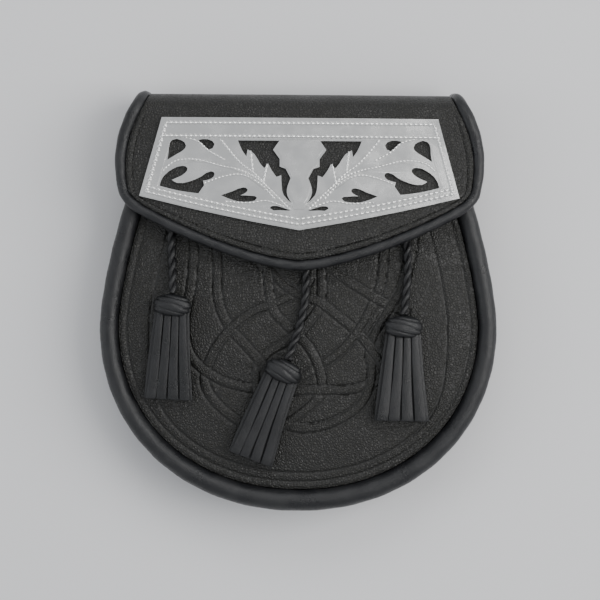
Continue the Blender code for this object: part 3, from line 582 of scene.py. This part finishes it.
def carry(piece: bpy.types.Object, name: str, values: np.ndarray) -> None:
    """Store one value for each point of a piece, for its material to read."""
    attribute = piece.data.attributes.new(name, "FLOAT", "POINT")
    attribute.data.foreach_set("value", np.asarray(values, np.float32))


def bench_points(bm: bmesh.types.BMesh) -> np.ndarray:
    """Places of all points of a bmesh."""
    return np.array([vert.co for vert in bm.verts], float).reshape(-1, 3)


def put_points(bm: bmesh.types.BMesh, points: np.ndarray) -> None:
    """Move all points of a bmesh."""
    for vert, point in zip(bm.verts, points):
        vert.co = point


def closed_shell(bm: bmesh.types.BMesh) -> bmesh.types.BMesh:
    """Weld a shape's seams and turn its faces outwards."""
    bmesh.ops.remove_doubles(bm, verts=bm.verts[:], dist=WELD)
    bmesh.ops.recalc_face_normals(bm, faces=bm.faces[:])
    return bm


def face_towards(bm: bmesh.types.BMesh, direction: Vector) -> None:
    """Turn an open sheet's faces round if most of them look away from a direction."""
    bmesh.ops.recalc_face_normals(bm, faces=bm.faces[:])
    bm.normal_update()
    if sum(face.normal.dot(direction) * face.calc_area() for face in bm.faces) < 0:
        bmesh.ops.reverse_faces(bm, faces=bm.faces[:])


def even_sheet(columns: int, rows: int, shape: Callable) -> bmesh.types.BMesh:
    """Make a sheet from a grid.

    Args:
        columns: Squares across.
        rows: Squares up.
        shape: Gives the places for positions across and up, both from -1 to 1.

    Returns:
        The sheet.
    """
    bm = bmesh.new()
    bmesh.ops.create_grid(bm, x_segments=columns, y_segments=rows, size=1.0)
    points = bench_points(bm)
    put_points(bm, shape(points[:, 0], points[:, 1]))
    return bm


def trimmed_sheet(low: tuple, high: tuple, step: float, field: Callable) -> bmesh.types.BMesh:
    """Make a flat sheet of small even squares, cut to an outline.

    Args:
        low: Lowest x and y.
        high: Highest x and y.
        step: Side of a square.
        field: Gives for places the distance inside the outline and the nearest place on it.

    Returns:
        The sheet, flat at z 0, with its edge on the outline.
    """
    size = np.array(high) - np.array(low)
    centre = (np.array(high) + np.array(low)) / 2
    columns, rows = (max(int(round(side / step)), 2) for side in size)
    bm = bmesh.new()
    bmesh.ops.create_grid(bm, x_segments=columns, y_segments=rows, size=1.0)
    bmesh.ops.transform(bm, verts=bm.verts[:],
                        matrix=Matrix.Translation((*centre, 0.0)) @ Matrix.Diagonal((*(size / 2), 1.0, 1.0)))
    points = bench_points(bm)
    inside, nearest = field(points[:, :2])
    spare = [vert for vert, depth in zip(bm.verts, inside) if depth < -0.35 * step]
    targets = {vert: place for vert, place in zip(bm.verts, nearest)}
    bmesh.ops.delete(bm, geom=spare, context="VERTS")
    loose = [face for face in bm.faces if sum(edge.is_boundary for edge in face.edges) > 2]
    bmesh.ops.delete(bm, geom=loose, context="FACES")
    rim = [vert for vert in bm.verts if vert.is_boundary]
    for vert in rim:
        vert.co.xy = Vector(targets[vert])
    stray = [vert for vert in bm.verts if not vert.link_faces]
    bmesh.ops.delete(bm, geom=stray, context="VERTS")
    bmesh.ops.dissolve_degenerate(bm, edges=bm.edges[:], dist=step * 0.02)
    return bm


def path_frames(path: np.ndarray) -> tuple:
    """Work out two directions square to a path that turn with it and don't spin.

    Args:
        path: Points of the path.

    Returns:
        The two directions at each point.
    """
    tangents = np.gradient(path, axis=0)
    tangents /= np.linalg.norm(tangents, axis=1, keepdims=True)
    first = Vector(tangents[0]).orthogonal().normalized()
    if abs(tangents[0][2]) < 0.9:
        first = (Vector((0, 0, 1)) - Vector(tangents[0]) * tangents[0][2]).normalized()
    sides = [np.array(first)]
    for tangent in tangents[1:]:
        side = sides[-1] - tangent * (sides[-1] @ tangent)
        sides.append(side / np.linalg.norm(side))
    sides = np.array(sides)
    return sides, np.cross(tangents, sides)


def roll_along(path: np.ndarray, radii: np.ndarray, sides: int, relief: Callable = None,
               cap: float = 0.35) -> bmesh.types.BMesh:
    """Make a closed round roll along a path, with rounded ends.

    Args:
        path: Points of its centre line.
        radii: Radius at each point.
        sides: Number of faces round it.
        relief: Gives a change of radius for shares along and angles round it.
        cap: How far its ends bulge, as a share of the radius.

    Returns:
        The closed roll.
    """
    steps = np.linspace(0.0, 1.0, 6)[1:] * math.pi / 2
    heads = []
    for end, ahead in ((0, path[0] - path[1]), (-1, path[-1] - path[-2])):
        ahead = ahead / np.linalg.norm(ahead)
        bulge = [path[end] + ahead * math.sin(step) * radii[end] * cap for step in steps]
        shrink = [radii[end] * max(math.cos(step), 0.0) for step in steps]
        heads.append((bulge, shrink))
    lead, tail = heads
    path = np.concatenate((lead[0][::-1], path, tail[0]))
    radii = np.concatenate((lead[1][::-1], radii, tail[1]))
    radii[[0, -1]] = 0.0
    first, second = path_frames(path)
    count = len(path) - 1

    def shape(across: np.ndarray, up: np.ndarray) -> np.ndarray:
        """Wrap the grid round the path."""
        ring = np.rint((across + 1) / 2 * count).astype(int)
        angle = (up + 1) * math.pi
        radius = radii[ring]
        if relief is not None:
            swell = relief(ring / count, angle)
            radius = radius + swell * np.minimum(radius / (0.5 * MM), 1.0)
        return (path[ring] + (radius * np.cos(angle))[:, None] * first[ring]
                + (radius * np.sin(angle))[:, None] * second[ring])

    return closed_shell(even_sheet(count, sides, shape))


@dataclass(frozen=True)
class RolledEdges:
    """Rolls of smooth leather round the front and along the flap."""

    spacing: float = 1.1 * MM
    sides: int = 24
    flap_side_radius: float = 3.0 * MM
    flap_edge_radius: float = 2.4 * MM
    flap_start: float = 0.36
    wrinkle: float = 0.07 * MM

    def wrinkles(self, share: np.ndarray, angle: np.ndarray) -> np.ndarray:
        """Fine uneven creases across a roll."""
        fine = np.sin(share * 930 + 3 * np.sin(angle + share * 37))
        slow = np.sin(share * 211 + 2 * np.sin(angle * 2 + share * 13))
        return self.wrinkle * (0.5 * fine + slow)

    def build_front(self, leather: bpy.types.Material) -> None:
        """Roll round the edge of the front."""
        position = np.linspace(-1, 1, 260)
        radius = FORM.roll_radius(position)
        place = FORM.inside_outline(position, radius, FORM.mouth_y)
        rows = np.column_stack((place, np.full(len(place), FORM.binding_z), radius))
        line = smooth_line(rows, self.spacing)
        bm = roll_along(line[:, :3], line[:, 3], self.sides, self.wrinkles, 0.1)
        give_piece("front_roll", bm, leather, ("body_binding",))

    def build_flap(self, leather: bpy.types.Material) -> None:
        """Roll down the flap's sides and along its V edge."""
        fold = np.linspace(self.flap_start, 1, 30)
        fuller = self.flap_side_radius - self.flap_edge_radius
        fold_radius = self.flap_edge_radius + fuller * ease((fold - 0.5) * 2)
        front = np.linspace(0, 1, 24)[1:]
        front_radius = self.flap_side_radius - fuller * ease(front)
        across = np.linspace(1, 0, 60)[1:]
        edge_radius = np.full(len(across), self.flap_edge_radius)
        right = np.concatenate((FORM.flap_fold_point(1.0, fold, fold_radius),
                                FORM.flap_front_point(1.0, front, front_radius),
                                FORM.flap_front_point(across, 1.0, self.flap_edge_radius)))
        rows = np.column_stack((right, np.concatenate((fold_radius, front_radius, edge_radius))))
        mirrored = rows[-2::-1] * np.array((-1, 1, 1, 1))
        line = smooth_line(np.concatenate((rows, mirrored)), self.spacing)
        bm = roll_along(line[:, :3], line[:, 3], self.sides, self.wrinkles, 0.1)
        give_piece("flap_roll", bm, leather, ("flap_binding",))


@dataclass(frozen=True)
class FlapLeather:
    """Grained flap with a turned edge beside its roll."""

    columns: int = 150
    rows: int = 116
    fold_share: float = 0.42
    crowding: float = 0.97
    edge_inset: float = 5.1 * MM
    side_inset: float = 6.3 * MM
    ridge: float = 0.45 * MM
    wave: float = 0.35 * MM

    def shape(self, across: np.ndarray, up: np.ndarray) -> np.ndarray:
        """Lay the sheet over the fold and down the front."""
        turn = math.pi / 2 * self.crowding
        across = np.sin(across * turn) / math.sin(turn)
        share = (up + 1) / 2
        fold = np.clip(share / self.fold_share, 0, 1)
        front = np.clip((share - self.fold_share) / (1 - self.fold_share), 0, 1)
        front = np.sin(front * turn) / math.sin(turn)
        widening = self.side_inset - self.edge_inset
        behind = FORM.flap_fold_point(across, fold, self.edge_inset + widening * ease(fold))
        ahead = FORM.flap_front_point(across, front, self.side_inset - widening * ease(front))
        on_front = share >= self.fold_share
        points = np.where(on_front[:, None], ahead, behind)
        side = (1 - np.abs(across)) * FORM.flap_widest
        low = (1 - front) * (FORM.flap_front_y - FORM.flap_edge(points[:, 0], 0.0))
        away = np.minimum(side, low)
        turned = self.ridge * (bump(away - 1.3 * MM, 0.8 * MM) - 0.8 * bump(away - 2.9 * MM, 0.6 * MM))
        slow = self.wave * cloudy(points, 22 * MM, 3.0) * ease(away / (6 * MM))
        points[:, 2] += np.where(on_front, turned + slow * (0.3 + 0.7 * (points[:, 1] < 40 * MM)), 0.0)
        return points

    def build(self, leather: bpy.types.Material) -> None:
        """Make the flap with its wall thickness."""
        bm = even_sheet(self.columns, self.rows, self.shape)
        face_towards(bm, Vector((0, 0, 1)))
        flap = give_piece("flap_leather", bm, leather, ("flap",))
        thicken(flap, FORM.flap_thickness, 0.0)


# Middle lines of the knot's straps on the front, read from the photograph, in millimetres
KNOT_STRAPS = (
    ((53, 32), (52, 22), (48.2, 7), (43.6, -.9), (38.4, -9.8), (34.3, -17.2), (32.9, -24.2), (34.3, -33.1),
     (32.4, -42.4), (28.2, -48.9), (21.2, -54.1), (12.3, -57.8), (3.5, -59.2), (-4, -58.3), (-12.3, -53.6),
     (-17, -46.1), (-19.3, -37.7), (-18.9, -30.3), (-13.3, -23.8), (-6.3, -19.6), (-.2, -14.9), (4.9, -9.3),
     (9.1, -3.3), (10.5, 2.8), (10.5, 10.7), (9.1, 18.2)),
    ((-15.1, 20), (-14.2, 7.5), (-11.9, -4.2), (-6.8, -10.3), (-1.2, -15.4), (4, -20.5), (7.7, -26.6),
     (10, -32.6), (11, -38.7), (9.6, -43.8), (6.3, -48), (1.2, -52.2), (-4.4, -56.4), (-11.4, -60.1),
     (-19.3, -60.6), (-27.3, -56.4), (-34.3, -51.3), (-39.8, -45.7), (-43.1, -39.6), (-43.1, -33.1),
     (-41.2, -27.5), (-38, -21), (-32.9, -14.4), (-26.3, -8.4), (-19.8, -4.2), (-13.3, -1.9), (-6.8, .9),
     (-.7, 4.7), (4.4, 9.8), (6.8, 17.2)),
    ((-48.6, 32), (-49.2, 20), (-50.1, 7.5), (-52.4, -4.2), (-53.4, -13.5), (-51, -23.8), (-47.3, -29.4),
     (-41.7, -34), (-35.6, -37.3), (-28.2, -39.6), (-20.3, -41), (-8.6, -41.9), (3, -41.5), (14.7, -41.5),
     (24, -41), (30.5, -39.6), (37, -36.8), (43.6, -31.2), (49.2, -22.8)),
    ((-37, 30), (-38, 18.2), (-38, 8.9), (-37.5, .5), (-35.2, -7), (-31, -14), (-25.4, -20), (-19.8, -26.1),
     (-14.7, -31.7), (-9.1, -35.4), (-3.5, -36.3), (2.1, -35), (7.2, -31.7), (12.3, -28.4), (17, -25.2),
     (21.7, -21), (26.3, -15.4), (30.5, -8.9), (33.8, -1.9), (36.6, 4.7), (38.4, 11.7), (39.8, 30)),
    ((-30, 28), (-20.3, 20), (-11.4, 12.1), (-5.4, 6.1), (2.1, 2.3), (10, -.9), (17, -6.1), (24, -11.7),
     (30.1, -17.7), (36.1, -25.2), (42.6, -34.5)),
    ((6, 22), (11, 18.2), (17, 13.5), (24, 8.4), (30.1, 4.7), (37, .5), (43.6, -2.3), (49.6, -5.1)))


@dataclass(frozen=True)
class FrontLeather:
    """Swelling front with a traditional knot and border lines pressed into it."""

    step: float = 0.55 * MM
    thickness: float = 2.2 * MM
    strap_half: float = 2.2 * MM
    line_width: float = 0.5 * MM
    line_depth: float = 0.6 * MM
    strap_crown: float = 0.3 * MM
    crossing_reach: float = 7 * MM
    border_low: float = 7.5 * MM
    border_side: float = 14.3 * MM
    border_turn_y: float = -60 * MM
    border_turn: float = 45 * MM
    wave: float = 0.3 * MM

    def weave(self, straps: list) -> list:
        """Find where straps cross and lay them over and under in turn."""
        found = []
        for first in range(len(straps)):
            for second in range(first + 1, len(straps)):
                gap, along, _ = measure_line(straps[first], straps[second])
                for spot in range(1, len(gap) - 1):
                    if gap[spot] < 0.8 * MM and gap[spot - 1] >= gap[spot] < gap[spot + 1]:
                        found.append((first, second, straps[first][spot], spot * MM, along[spot]))
        over = {}
        for strap in range(len(straps)):
            mine = sorted((row[3] if row[0] == strap else row[4], spot)
                          for spot, row in enumerate(found) if strap in row[:2])
            known = [(order, spot) for order, (_, spot) in enumerate(mine) if spot in over]
            odd = bool(known) and (known[0][0] % 2 == 0) != (over[known[0][1]] == strap)
            for order, (_, spot) in enumerate(mine):
                other = found[spot][1] if found[spot][0] == strap else found[spot][0]
                over.setdefault(spot, strap if (order % 2 == 0) != odd else other)
        return [(row[2], over[spot], row[1] if over[spot] == row[0] else row[0])
                for spot, row in enumerate(found)]

    def knot(self, points: np.ndarray) -> tuple:
        """Depth of the pressed lines, from 0 to 1, and distance from the nearest strap's middle."""
        straps = [smooth_line(MM * np.array(rows), MM) for rows in KNOT_STRAPS]
        away = [measure_line(points, strap)[0] for strap in straps]
        lines = [bump(distance - self.strap_half, self.line_width) for distance in away]
        for place, upper, lower in self.weave(straps):
            near = np.hypot(*(points - place).T) < self.crossing_reach
            lines[lower][near & (away[upper] < self.strap_half + 0.1 * MM)] = 0.0
        return np.max(lines, axis=0), np.min(away, axis=0)

    def build(self, leather: bpy.types.Material) -> None:
        """Make the front with its edge and its inside."""
        position = np.linspace(-1, 1, 300)
        rim = FORM.inside_outline(position, 2 * FORM.roll_radius(position) + GAP, FORM.panel_top_y)
        bm = trimmed_sheet(rim.min(0), rim.max(0), self.step,
                           lambda places: measure_outline(places, rim))
        flat = bench_points(bm)[:, :2]
        inside = np.abs(measure_outline(flat, rim)[0])
        lines, away = self.knot(flat)
        widening = ease((flat[:, 1] - self.border_turn_y) / self.border_turn)
        border = self.border_low + (self.border_side - self.border_low) * widening
        edging = np.maximum(bump(inside - border, 0.6 * MM), 0.8 * bump(inside - 3.4 * MM, 0.55 * MM))
        within = inside > border
        pressed = np.maximum(np.where(within, lines, 0.0), edging)
        crown = self.strap_crown * np.sqrt(np.clip(1 - (away / self.strap_half) ** 2, 0, 1)) * within
        height = FORM.panel_height(flat[:, 0], flat[:, 1]) - self.line_depth * pressed + crown
        points = np.column_stack((flat, height))
        points[:, 2] += 0.3 * MM * bump(inside - 1.4 * MM, 0.8 * MM)
        points[:, 2] += self.wave * cloudy(points, 26 * MM, 8.0) * ease(inside / (8 * MM))
        put_points(bm, points)
        edges = [edge for edge in bm.edges if edge.is_boundary]
        grown = bmesh.ops.extrude_edge_only(bm, edges=edges)["geom"]
        drop = self.thickness
        for scale in (1.0, 0.85, 0.6, 0.3):
            ring = [item for item in grown if isinstance(item, bmesh.types.BMVert)]
            edges = [item for item in grown if isinstance(item, bmesh.types.BMEdge)]
            for vert in ring:
                vert.co.xy *= scale
                vert.co.z = float(FORM.panel_height(vert.co.x, vert.co.y)) - drop - 0.2 * MM
            if scale > 0.3:
                grown = bmesh.ops.extrude_edge_only(bm, edges=edges)["geom"]
        bmesh.ops.contextual_create(bm, geom=edges)
        bmesh.ops.poke(bm, faces=[face for face in bm.faces if len(face.verts) > 8])
        bmesh.ops.recalc_face_normals(bm, faces=bm.faces[:])
        values = np.zeros(len(bm.verts))
        values[:len(pressed)] = pressed
        front = give_piece("front_leather", bm, leather, ("front_panel",))
        carry(front, "pressed", values)


class TasselPlace(NamedTuple):
    """Where one tassel lies and the way of its cord, in millimetres."""

    name: str
    x: float
    y: float
    lean_deg: float
    foot: float
    cord: tuple


TASSELS = (
    TasselPlace("left", -58.5, -2.6, 2.5, 23,
                ((-59.6, 42, 0), (-59.4, 32, 0), (-59, 22, 0), (-58.4, 12, .9), (-58.2, 3.2, 2.3))),
    TasselPlace("middle", -6.8, -32.6, 20.5, 22,
                ((3.6, 24, 0), (3.6, 12, 0), (3, 0, 0), (.7, -11.2, 0), (-2.2, -20, 1), (-4.7, -27.1, 2.3))),
    TasselPlace("right", 48.7, -11.7, 1, 26,
                ((49.8, 40, 0), (50.1, 29, 0), (50.6, 16, 0), (50, 4, .6), (48.9, -5.9, 2.3))))


@dataclass(frozen=True)
class Tassel:
    """A head bound round a bundle of cut leather strips, on a twisted cord."""

    place: TasselPlace
    head_half: tuple = (8.9 * MM, 5.35 * MM, 4.7 * MM)
    head_z: float = 5.0 * MM
    skirt: float = 42.5 * MM
    strip_layers: tuple = ((3, 1.1, .60, .72), (5, 3.2, .92, 1.0), (4, 5.3, .76, .90))
    strip_thickness: float = 1.7 * MM
    cord_radius: float = 2.1 * MM
    strand_radius: float = 1.15 * MM
    pitch: float = 11 * MM

    def lay(self, bm: bmesh.types.BMesh) -> bmesh.types.BMesh:
        """Turn a shape to the tassel's lean and lay it on the front."""
        spot = self.place
        turn = Matrix.Rotation(-math.radians(spot.lean_deg), 4, "Z")
        bmesh.ops.transform(bm, verts=bm.verts[:],
                            matrix=Matrix.Translation((spot.x * MM, spot.y * MM, GAP)) @ turn)
        for vert in bm.verts:
            vert.co.z += float(FORM.panel_height(vert.co.x, vert.co.y))
        return bm

    def build_head(self, leather: bpy.types.Material) -> bpy.types.Object:
        """Domed head with a strap wound round it."""
        bm = bmesh.new()
        bmesh.ops.create_uvsphere(bm, u_segments=64, v_segments=48, radius=1.0)
        points = bench_points(bm)
        x, y, z = points.T
        winding = (np.arctan2(z, x) / (2 * math.pi) + 1.9 * y + 0.9 * x) % 1.0
        swell = 1 - 0.09 * bump(winding - 0.5, 0.13)
        points = np.stack((x, np.sign(y) * np.abs(y) ** 0.75, z), 1) * np.array(self.head_half)
        put_points(bm, points * swell[:, None] + np.array((0, 0, self.head_z)))
        return give_piece(f"tassel_{self.place.name}_head", self.lay(closed_shell(bm)), leather,
                          (f"tassel_{self.place.name}",))

    def build_skirt(self, leather: bpy.types.Material) -> bpy.types.Object:
        """Three layers of narrow strips that spread to the foot."""
        whole = bmesh.new()
        for layer, (count, height, head_share, foot_share) in enumerate(self.strip_layers):
            for number in range(count):
                start = len(whole.verts)
                bmesh.ops.create_cube(whole, size=1.0)
                whole.verts.ensure_lookup_table()
                strip = whole.verts[start:]
                edges = [edge for edge in {edge for vert in strip for edge in vert.link_edges}
                         if abs(edge.verts[0].co.y - edge.verts[1].co.y) > 0.5]
                bmesh.ops.subdivide_edges(whole, edges=edges, cuts=14)
                whole.verts.ensure_lookup_table()
                middle = 2 * (number + 0.5) / count - 1
                phase = 1.7 * number + 2.3 * layer
                for vert in whole.verts[start:]:
                    down = 0.5 - vert.co.y
                    half = (self.head_half[0] * head_share * (1 - down)
                            + self.place.foot * MM / 2 * foot_share * down)
                    width = 2 * half / count - 0.4 * MM
                    sway = 0.35 * MM * math.sin(down * 5 + phase) * down
                    lift = 0.25 * MM * math.sin(down * 4 + phase * 2) * down
                    vert.co = (middle * half + vert.co.x * width + sway,
                               -down * self.skirt - 1.0 * MM,
                               height * MM + vert.co.z * self.strip_thickness + lift)
        long_edges = [edge for edge in whole.edges if edge.calc_face_angle(0.0) > 1.2]
        bmesh.ops.bevel(whole, geom=long_edges, offset=0.3 * MM, affect="EDGES", segments=2,
                        profile=0.5, material=-1)
        bmesh.ops.recalc_face_normals(whole, faces=whole.faces[:])
        return give_piece(f"tassel_{self.place.name}_skirt", self.lay(whole), leather,
                          (f"tassel_{self.place.name}",))

    def build_cord(self, leather: bpy.types.Material) -> None:
        """Two strands twisted together, from under the flap to the head."""
        rows = MM * np.array(self.place.cord)
        base = FORM.panel_height(rows[:, 0], rows[:, 1]) + GAP + self.cord_radius
        line = smooth_line(np.column_stack((rows[:, :2], base + rows[:, 2])), 0.7 * MM)
        first, second = path_frames(line)
        reached = np.arange(len(line)) * 0.7 * MM
        both = bmesh.new()
        for start in (0.0, math.pi):
            angle = reached / self.pitch * 2 * math.pi + start
            offset = self.cord_radius - self.strand_radius
            strand = (line + offset * np.cos(angle)[:, None] * first
                      + offset * np.sin(angle)[:, None] * second)
            bm = roll_along(strand, np.full(len(line), self.strand_radius), 14)
            mesh = bpy.data.meshes.new("strand")
            bm.to_mesh(mesh)
            bm.free()
            both.from_mesh(mesh)
            bpy.data.meshes.remove(mesh)
        cord = give_piece(f"twisted_cord_{self.place.name}", both, leather,
                          (f"tassel_cord_{self.place.name}",))

    def build(self, leather: bpy.types.Material, cord_leather: bpy.types.Material) -> None:
        """Make the head, the strips and the cord."""
        ends = [self.build_head(leather), self.build_skirt(leather)]
        self.build_cord(cord_leather)


@dataclass(frozen=True)
class PlaqueRelief:
    """Beaded rows and leaf ribs cast on the pierced plaque."""

    top_y: float = 84.6
    top_half: float = 64.0
    corner_y: float = 48.0
    corner_half: float = 74.0
    tip_y: float = 32.6
    surface: float = 1.2 * MM + GAP + 1.2 * MM
    band_rise: float = 0.5 * MM
    leaves: tuple = (
        ((4.4, 42.4), (13.6, 51.5), (20.6, 58.5), (28.1, 64.4), (36.7, 74.6)),
        ((11.4, 49.4), (19.5, 56.4), (27, 60.1), (36.7, 62.3), (47.4, 65), (57.1, 64.4), (63, 60.1)),
        ((34.6, 65), (42.1, 69.2), (47.4, 73.6), (53.9, 75.2)),
        ((16.8, 54.7), (15, 63.1)), ((21.7, 60.1), (22.7, 69.2)),
        ((11.4, 47.2), (17.9, 53.7), (26, 58), (34, 57.5), (43.7, 54.2)),
        ((7.1, 43.5), (15.1, 46.1), (23.8, 45.1), (34, 45.7)))

    def row(self, whole: bmesh.types.BMesh, line: list, radius: float, rise: float, beads: float) -> None:
        """Add one beaded ridge, and its mirror image, along a line given in millimetres."""
        for side in (1, -1):
            flat = smooth_line(MM * np.array(line) * np.array((side, 1)), 0.35 * MM)
            height = FORM.flap_height(flat[:, 0], flat[:, 1]) + self.surface + rise
            path = np.column_stack((flat, height))
            count = len(path) * 0.35 / beads * 2 * math.pi
            radii = np.full(len(path), radius)
            bm = roll_along(path, radii, 10, lambda share, angle: 0.28 * radius * np.sin(share * count))
            mesh = bpy.data.meshes.new("row")
            bm.to_mesh(mesh)
            bm.free()
            whole.from_mesh(mesh)
            bpy.data.meshes.remove(mesh)

    def build(self, metal: bpy.types.Material) -> None:
        """Make all the rows as one casting."""
        whole = bmesh.new()
        lean = (self.corner_half - self.top_half) / (self.top_y - self.corner_y)
        fall = (self.corner_y - self.tip_y) / self.corner_half
        for inset in (2.5, 8.6):
            y = self.top_y - inset
            reach = self.top_half + lean * inset - 3.0
            self.row(whole, [(0, y), (reach / 2, y), (reach, y)], 0.75 * MM, self.band_rise, 2.15)
        for inset in (2.7, 5.1):
            reach = self.corner_half - 3.0
            self.row(whole, [(reach * share, self.tip_y + inset + fall * reach * share
                              - 0.8 * 4 * share * (1 - share)) for share in (0, .25, .5, .75, 1)],
                     0.7 * MM, self.band_rise, 2.4)
        side = [(self.top_half + lean * drop - 2.7, self.top_y - drop) for drop in (3, 18, 35)]
        self.row(whole, side, 0.75 * MM, self.band_rise, 2.15)
        for leaf in self.leaves:
            self.row(whole, leaf, 0.5 * MM, 0.0, 1.6)
        give_piece("plaque_relief", whole, metal)


@dataclass(frozen=True)
class SideGusset:
    """Soft pleated wall between back and front."""

    back_z: float = 5.2 * MM
    clearance: float = 0.45 * MM
    thickness: float = 1.6 * MM
    fold_shares: tuple = (0, .16, .40, .50, .60, .84, 1)
    folds: tuple = (0, .3, 4.3, 5.4, 4.3, .3, 0)

    def shape(self, across: np.ndarray, up: np.ndarray) -> np.ndarray:
        """Fold the sheet inwards round the pouch."""
        table = np.column_stack((self.fold_shares, MM * np.array(self.folds)))
        row = along_rows(table, (up + 1) / 2 * (len(table) - 1))
        radius = FORM.roll_radius(across)
        low = self.back_z + self.clearance
        high = FORM.binding_z - radius - self.clearance
        place = FORM.inside_outline(across, radius + row[:, 1], FORM.mouth_y)
        return np.column_stack((place, low + row[:, 0] * (high - low)))

    def build(self, leather: bpy.types.Material) -> None:
        """Make the wall with its thickness."""
        bm = even_sheet(260, 36, self.shape)
        face_towards(bm, Vector((0, 0, 1)))
        thicken(give_piece("side_gusset", bm, leather, ("gusset",)), self.thickness, 0.0)


@dataclass(frozen=True)
class Studio:
    """Camera straight above the pouch, soft lamps and a pale table."""

    camera_height: float = 1.3
    camera_x: float = 0.7 * MM
    camera_y: float = 0.47 * MM
    roll_deg: float = 0.478
    lens: float = 163.9
    floor_size: float = 6.0
    floor_z: float = -0.1 * MM

    def build_floor(self) -> None:
        """Lay the table under the pouch."""
        bm = bmesh.new()
        bmesh.ops.create_grid(bm, x_segments=8, y_segments=8, size=self.floor_size / 2)
        bmesh.ops.translate(bm, verts=bm.verts[:], vec=(0, 0, self.floor_z))
        mesh = bpy.data.meshes.new("table_top")
        bm.to_mesh(mesh)
        bm.free()
        mesh.materials.append(StudioFloor().material())
        floor = bpy.data.objects.new("table_top", mesh)
        bpy.context.scene.collection.objects.link(floor)

    def build_camera(self) -> None:
        """Hang the camera where the photograph was taken from."""
        data = bpy.data.cameras.new("camera")
        data.lens = self.lens
        camera = bpy.data.objects.new("camera", data)
        camera.location = (self.camera_x, self.camera_y, self.camera_height)
        camera.rotation_euler.z = math.radians(self.roll_deg)
        bpy.context.scene.collection.objects.link(camera)
        bpy.context.scene.camera = camera

    def add_lamp(self, name: str, place: tuple, size: tuple, power: float, colour: tuple) -> None:
        """Hang one soft lamp that points at the pouch."""
        data = bpy.data.lights.new(name, "AREA")
        data.shape = "RECTANGLE"
        data.size, data.size_y = size
        data.energy = power
        data.color = colour
        lamp = bpy.data.objects.new(name, data)
        lamp.location = place
        lamp.rotation_euler = (-Vector(place)).to_track_quat("-Z", "Y").to_euler()
        bpy.context.scene.collection.objects.link(lamp)

    def build_lights(self) -> None:
        """Wide soft lamps, the strongest on the right, and a grey surround."""
        self.add_lamp("lamp_right", (1.0, 0.15, 1.1), (0.9, 1.3), 15.0, (1.0, 0.99, 0.97))
        self.add_lamp("lamp_left", (-1.3, -0.1, 0.8), (0.5, 1.2), 3.0, (0.93, 0.97, 1.0))
        self.add_lamp("lamp_top", (0.1, 1.1, 1.2), (1.2, 0.6), 5.0, (1.0, 1.0, 1.0))
        world = bpy.data.worlds.new("studio")
        world.use_nodes = True
        background = world.node_tree.nodes["Background"]
        background.inputs["Color"].default_value = (0.95, 0.97, 1.0, 1.0)
        background.inputs["Strength"].default_value = 0.62
        bpy.context.scene.world = world


def dress_nodes(names: tuple, material: bpy.types.Material) -> None:
    """Give CAD nodes whose shape is kept a finish."""
    for name in names:
        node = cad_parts[name]
        node.data.materials.clear()
        node.data.materials.append(material)


def main() -> None:
    """Build the studio and the pouch, piece by piece."""
    logging.basicConfig(level=logging.INFO)
    studio = Studio()
    studio.build_floor()
    studio.build_camera()
    studio.build_lights()
    grained = GrainedLeather().material()
    smooth = SmoothLeather().material()
    metal = CastMetal().material()
    dress_nodes(("back_panel", "strap_loop_left", "strap_loop_right"), grained)
    dress_nodes(("plaque",), metal)
    dress_nodes(("snap_stud",), metal)
    rolls = RolledEdges()
    rolls.build_front(smooth)
    rolls.build_flap(smooth)
    FlapLeather().build(grained)
    FrontLeather().build(grained)
    tassel_finish = SmoothLeather("tassel_strips", (0.006, 0.0065, 0.0075, 1.0), (0.012, 0.0125, 0.014, 1.0))
    cord_finish = SmoothLeather("cord_strands", (0.006, 0.006, 0.007, 1.0), (0.013, 0.013, 0.014, 1.0))
    tassel_leather, cord_leather = tassel_finish.material(), cord_finish.material()
    for place in TASSELS:
        Tassel(place).build(tassel_leather, cord_leather)
    PlaqueRelief().build(metal)
    SideGusset().build(grained)


if __name__ == "__main__":
    main()
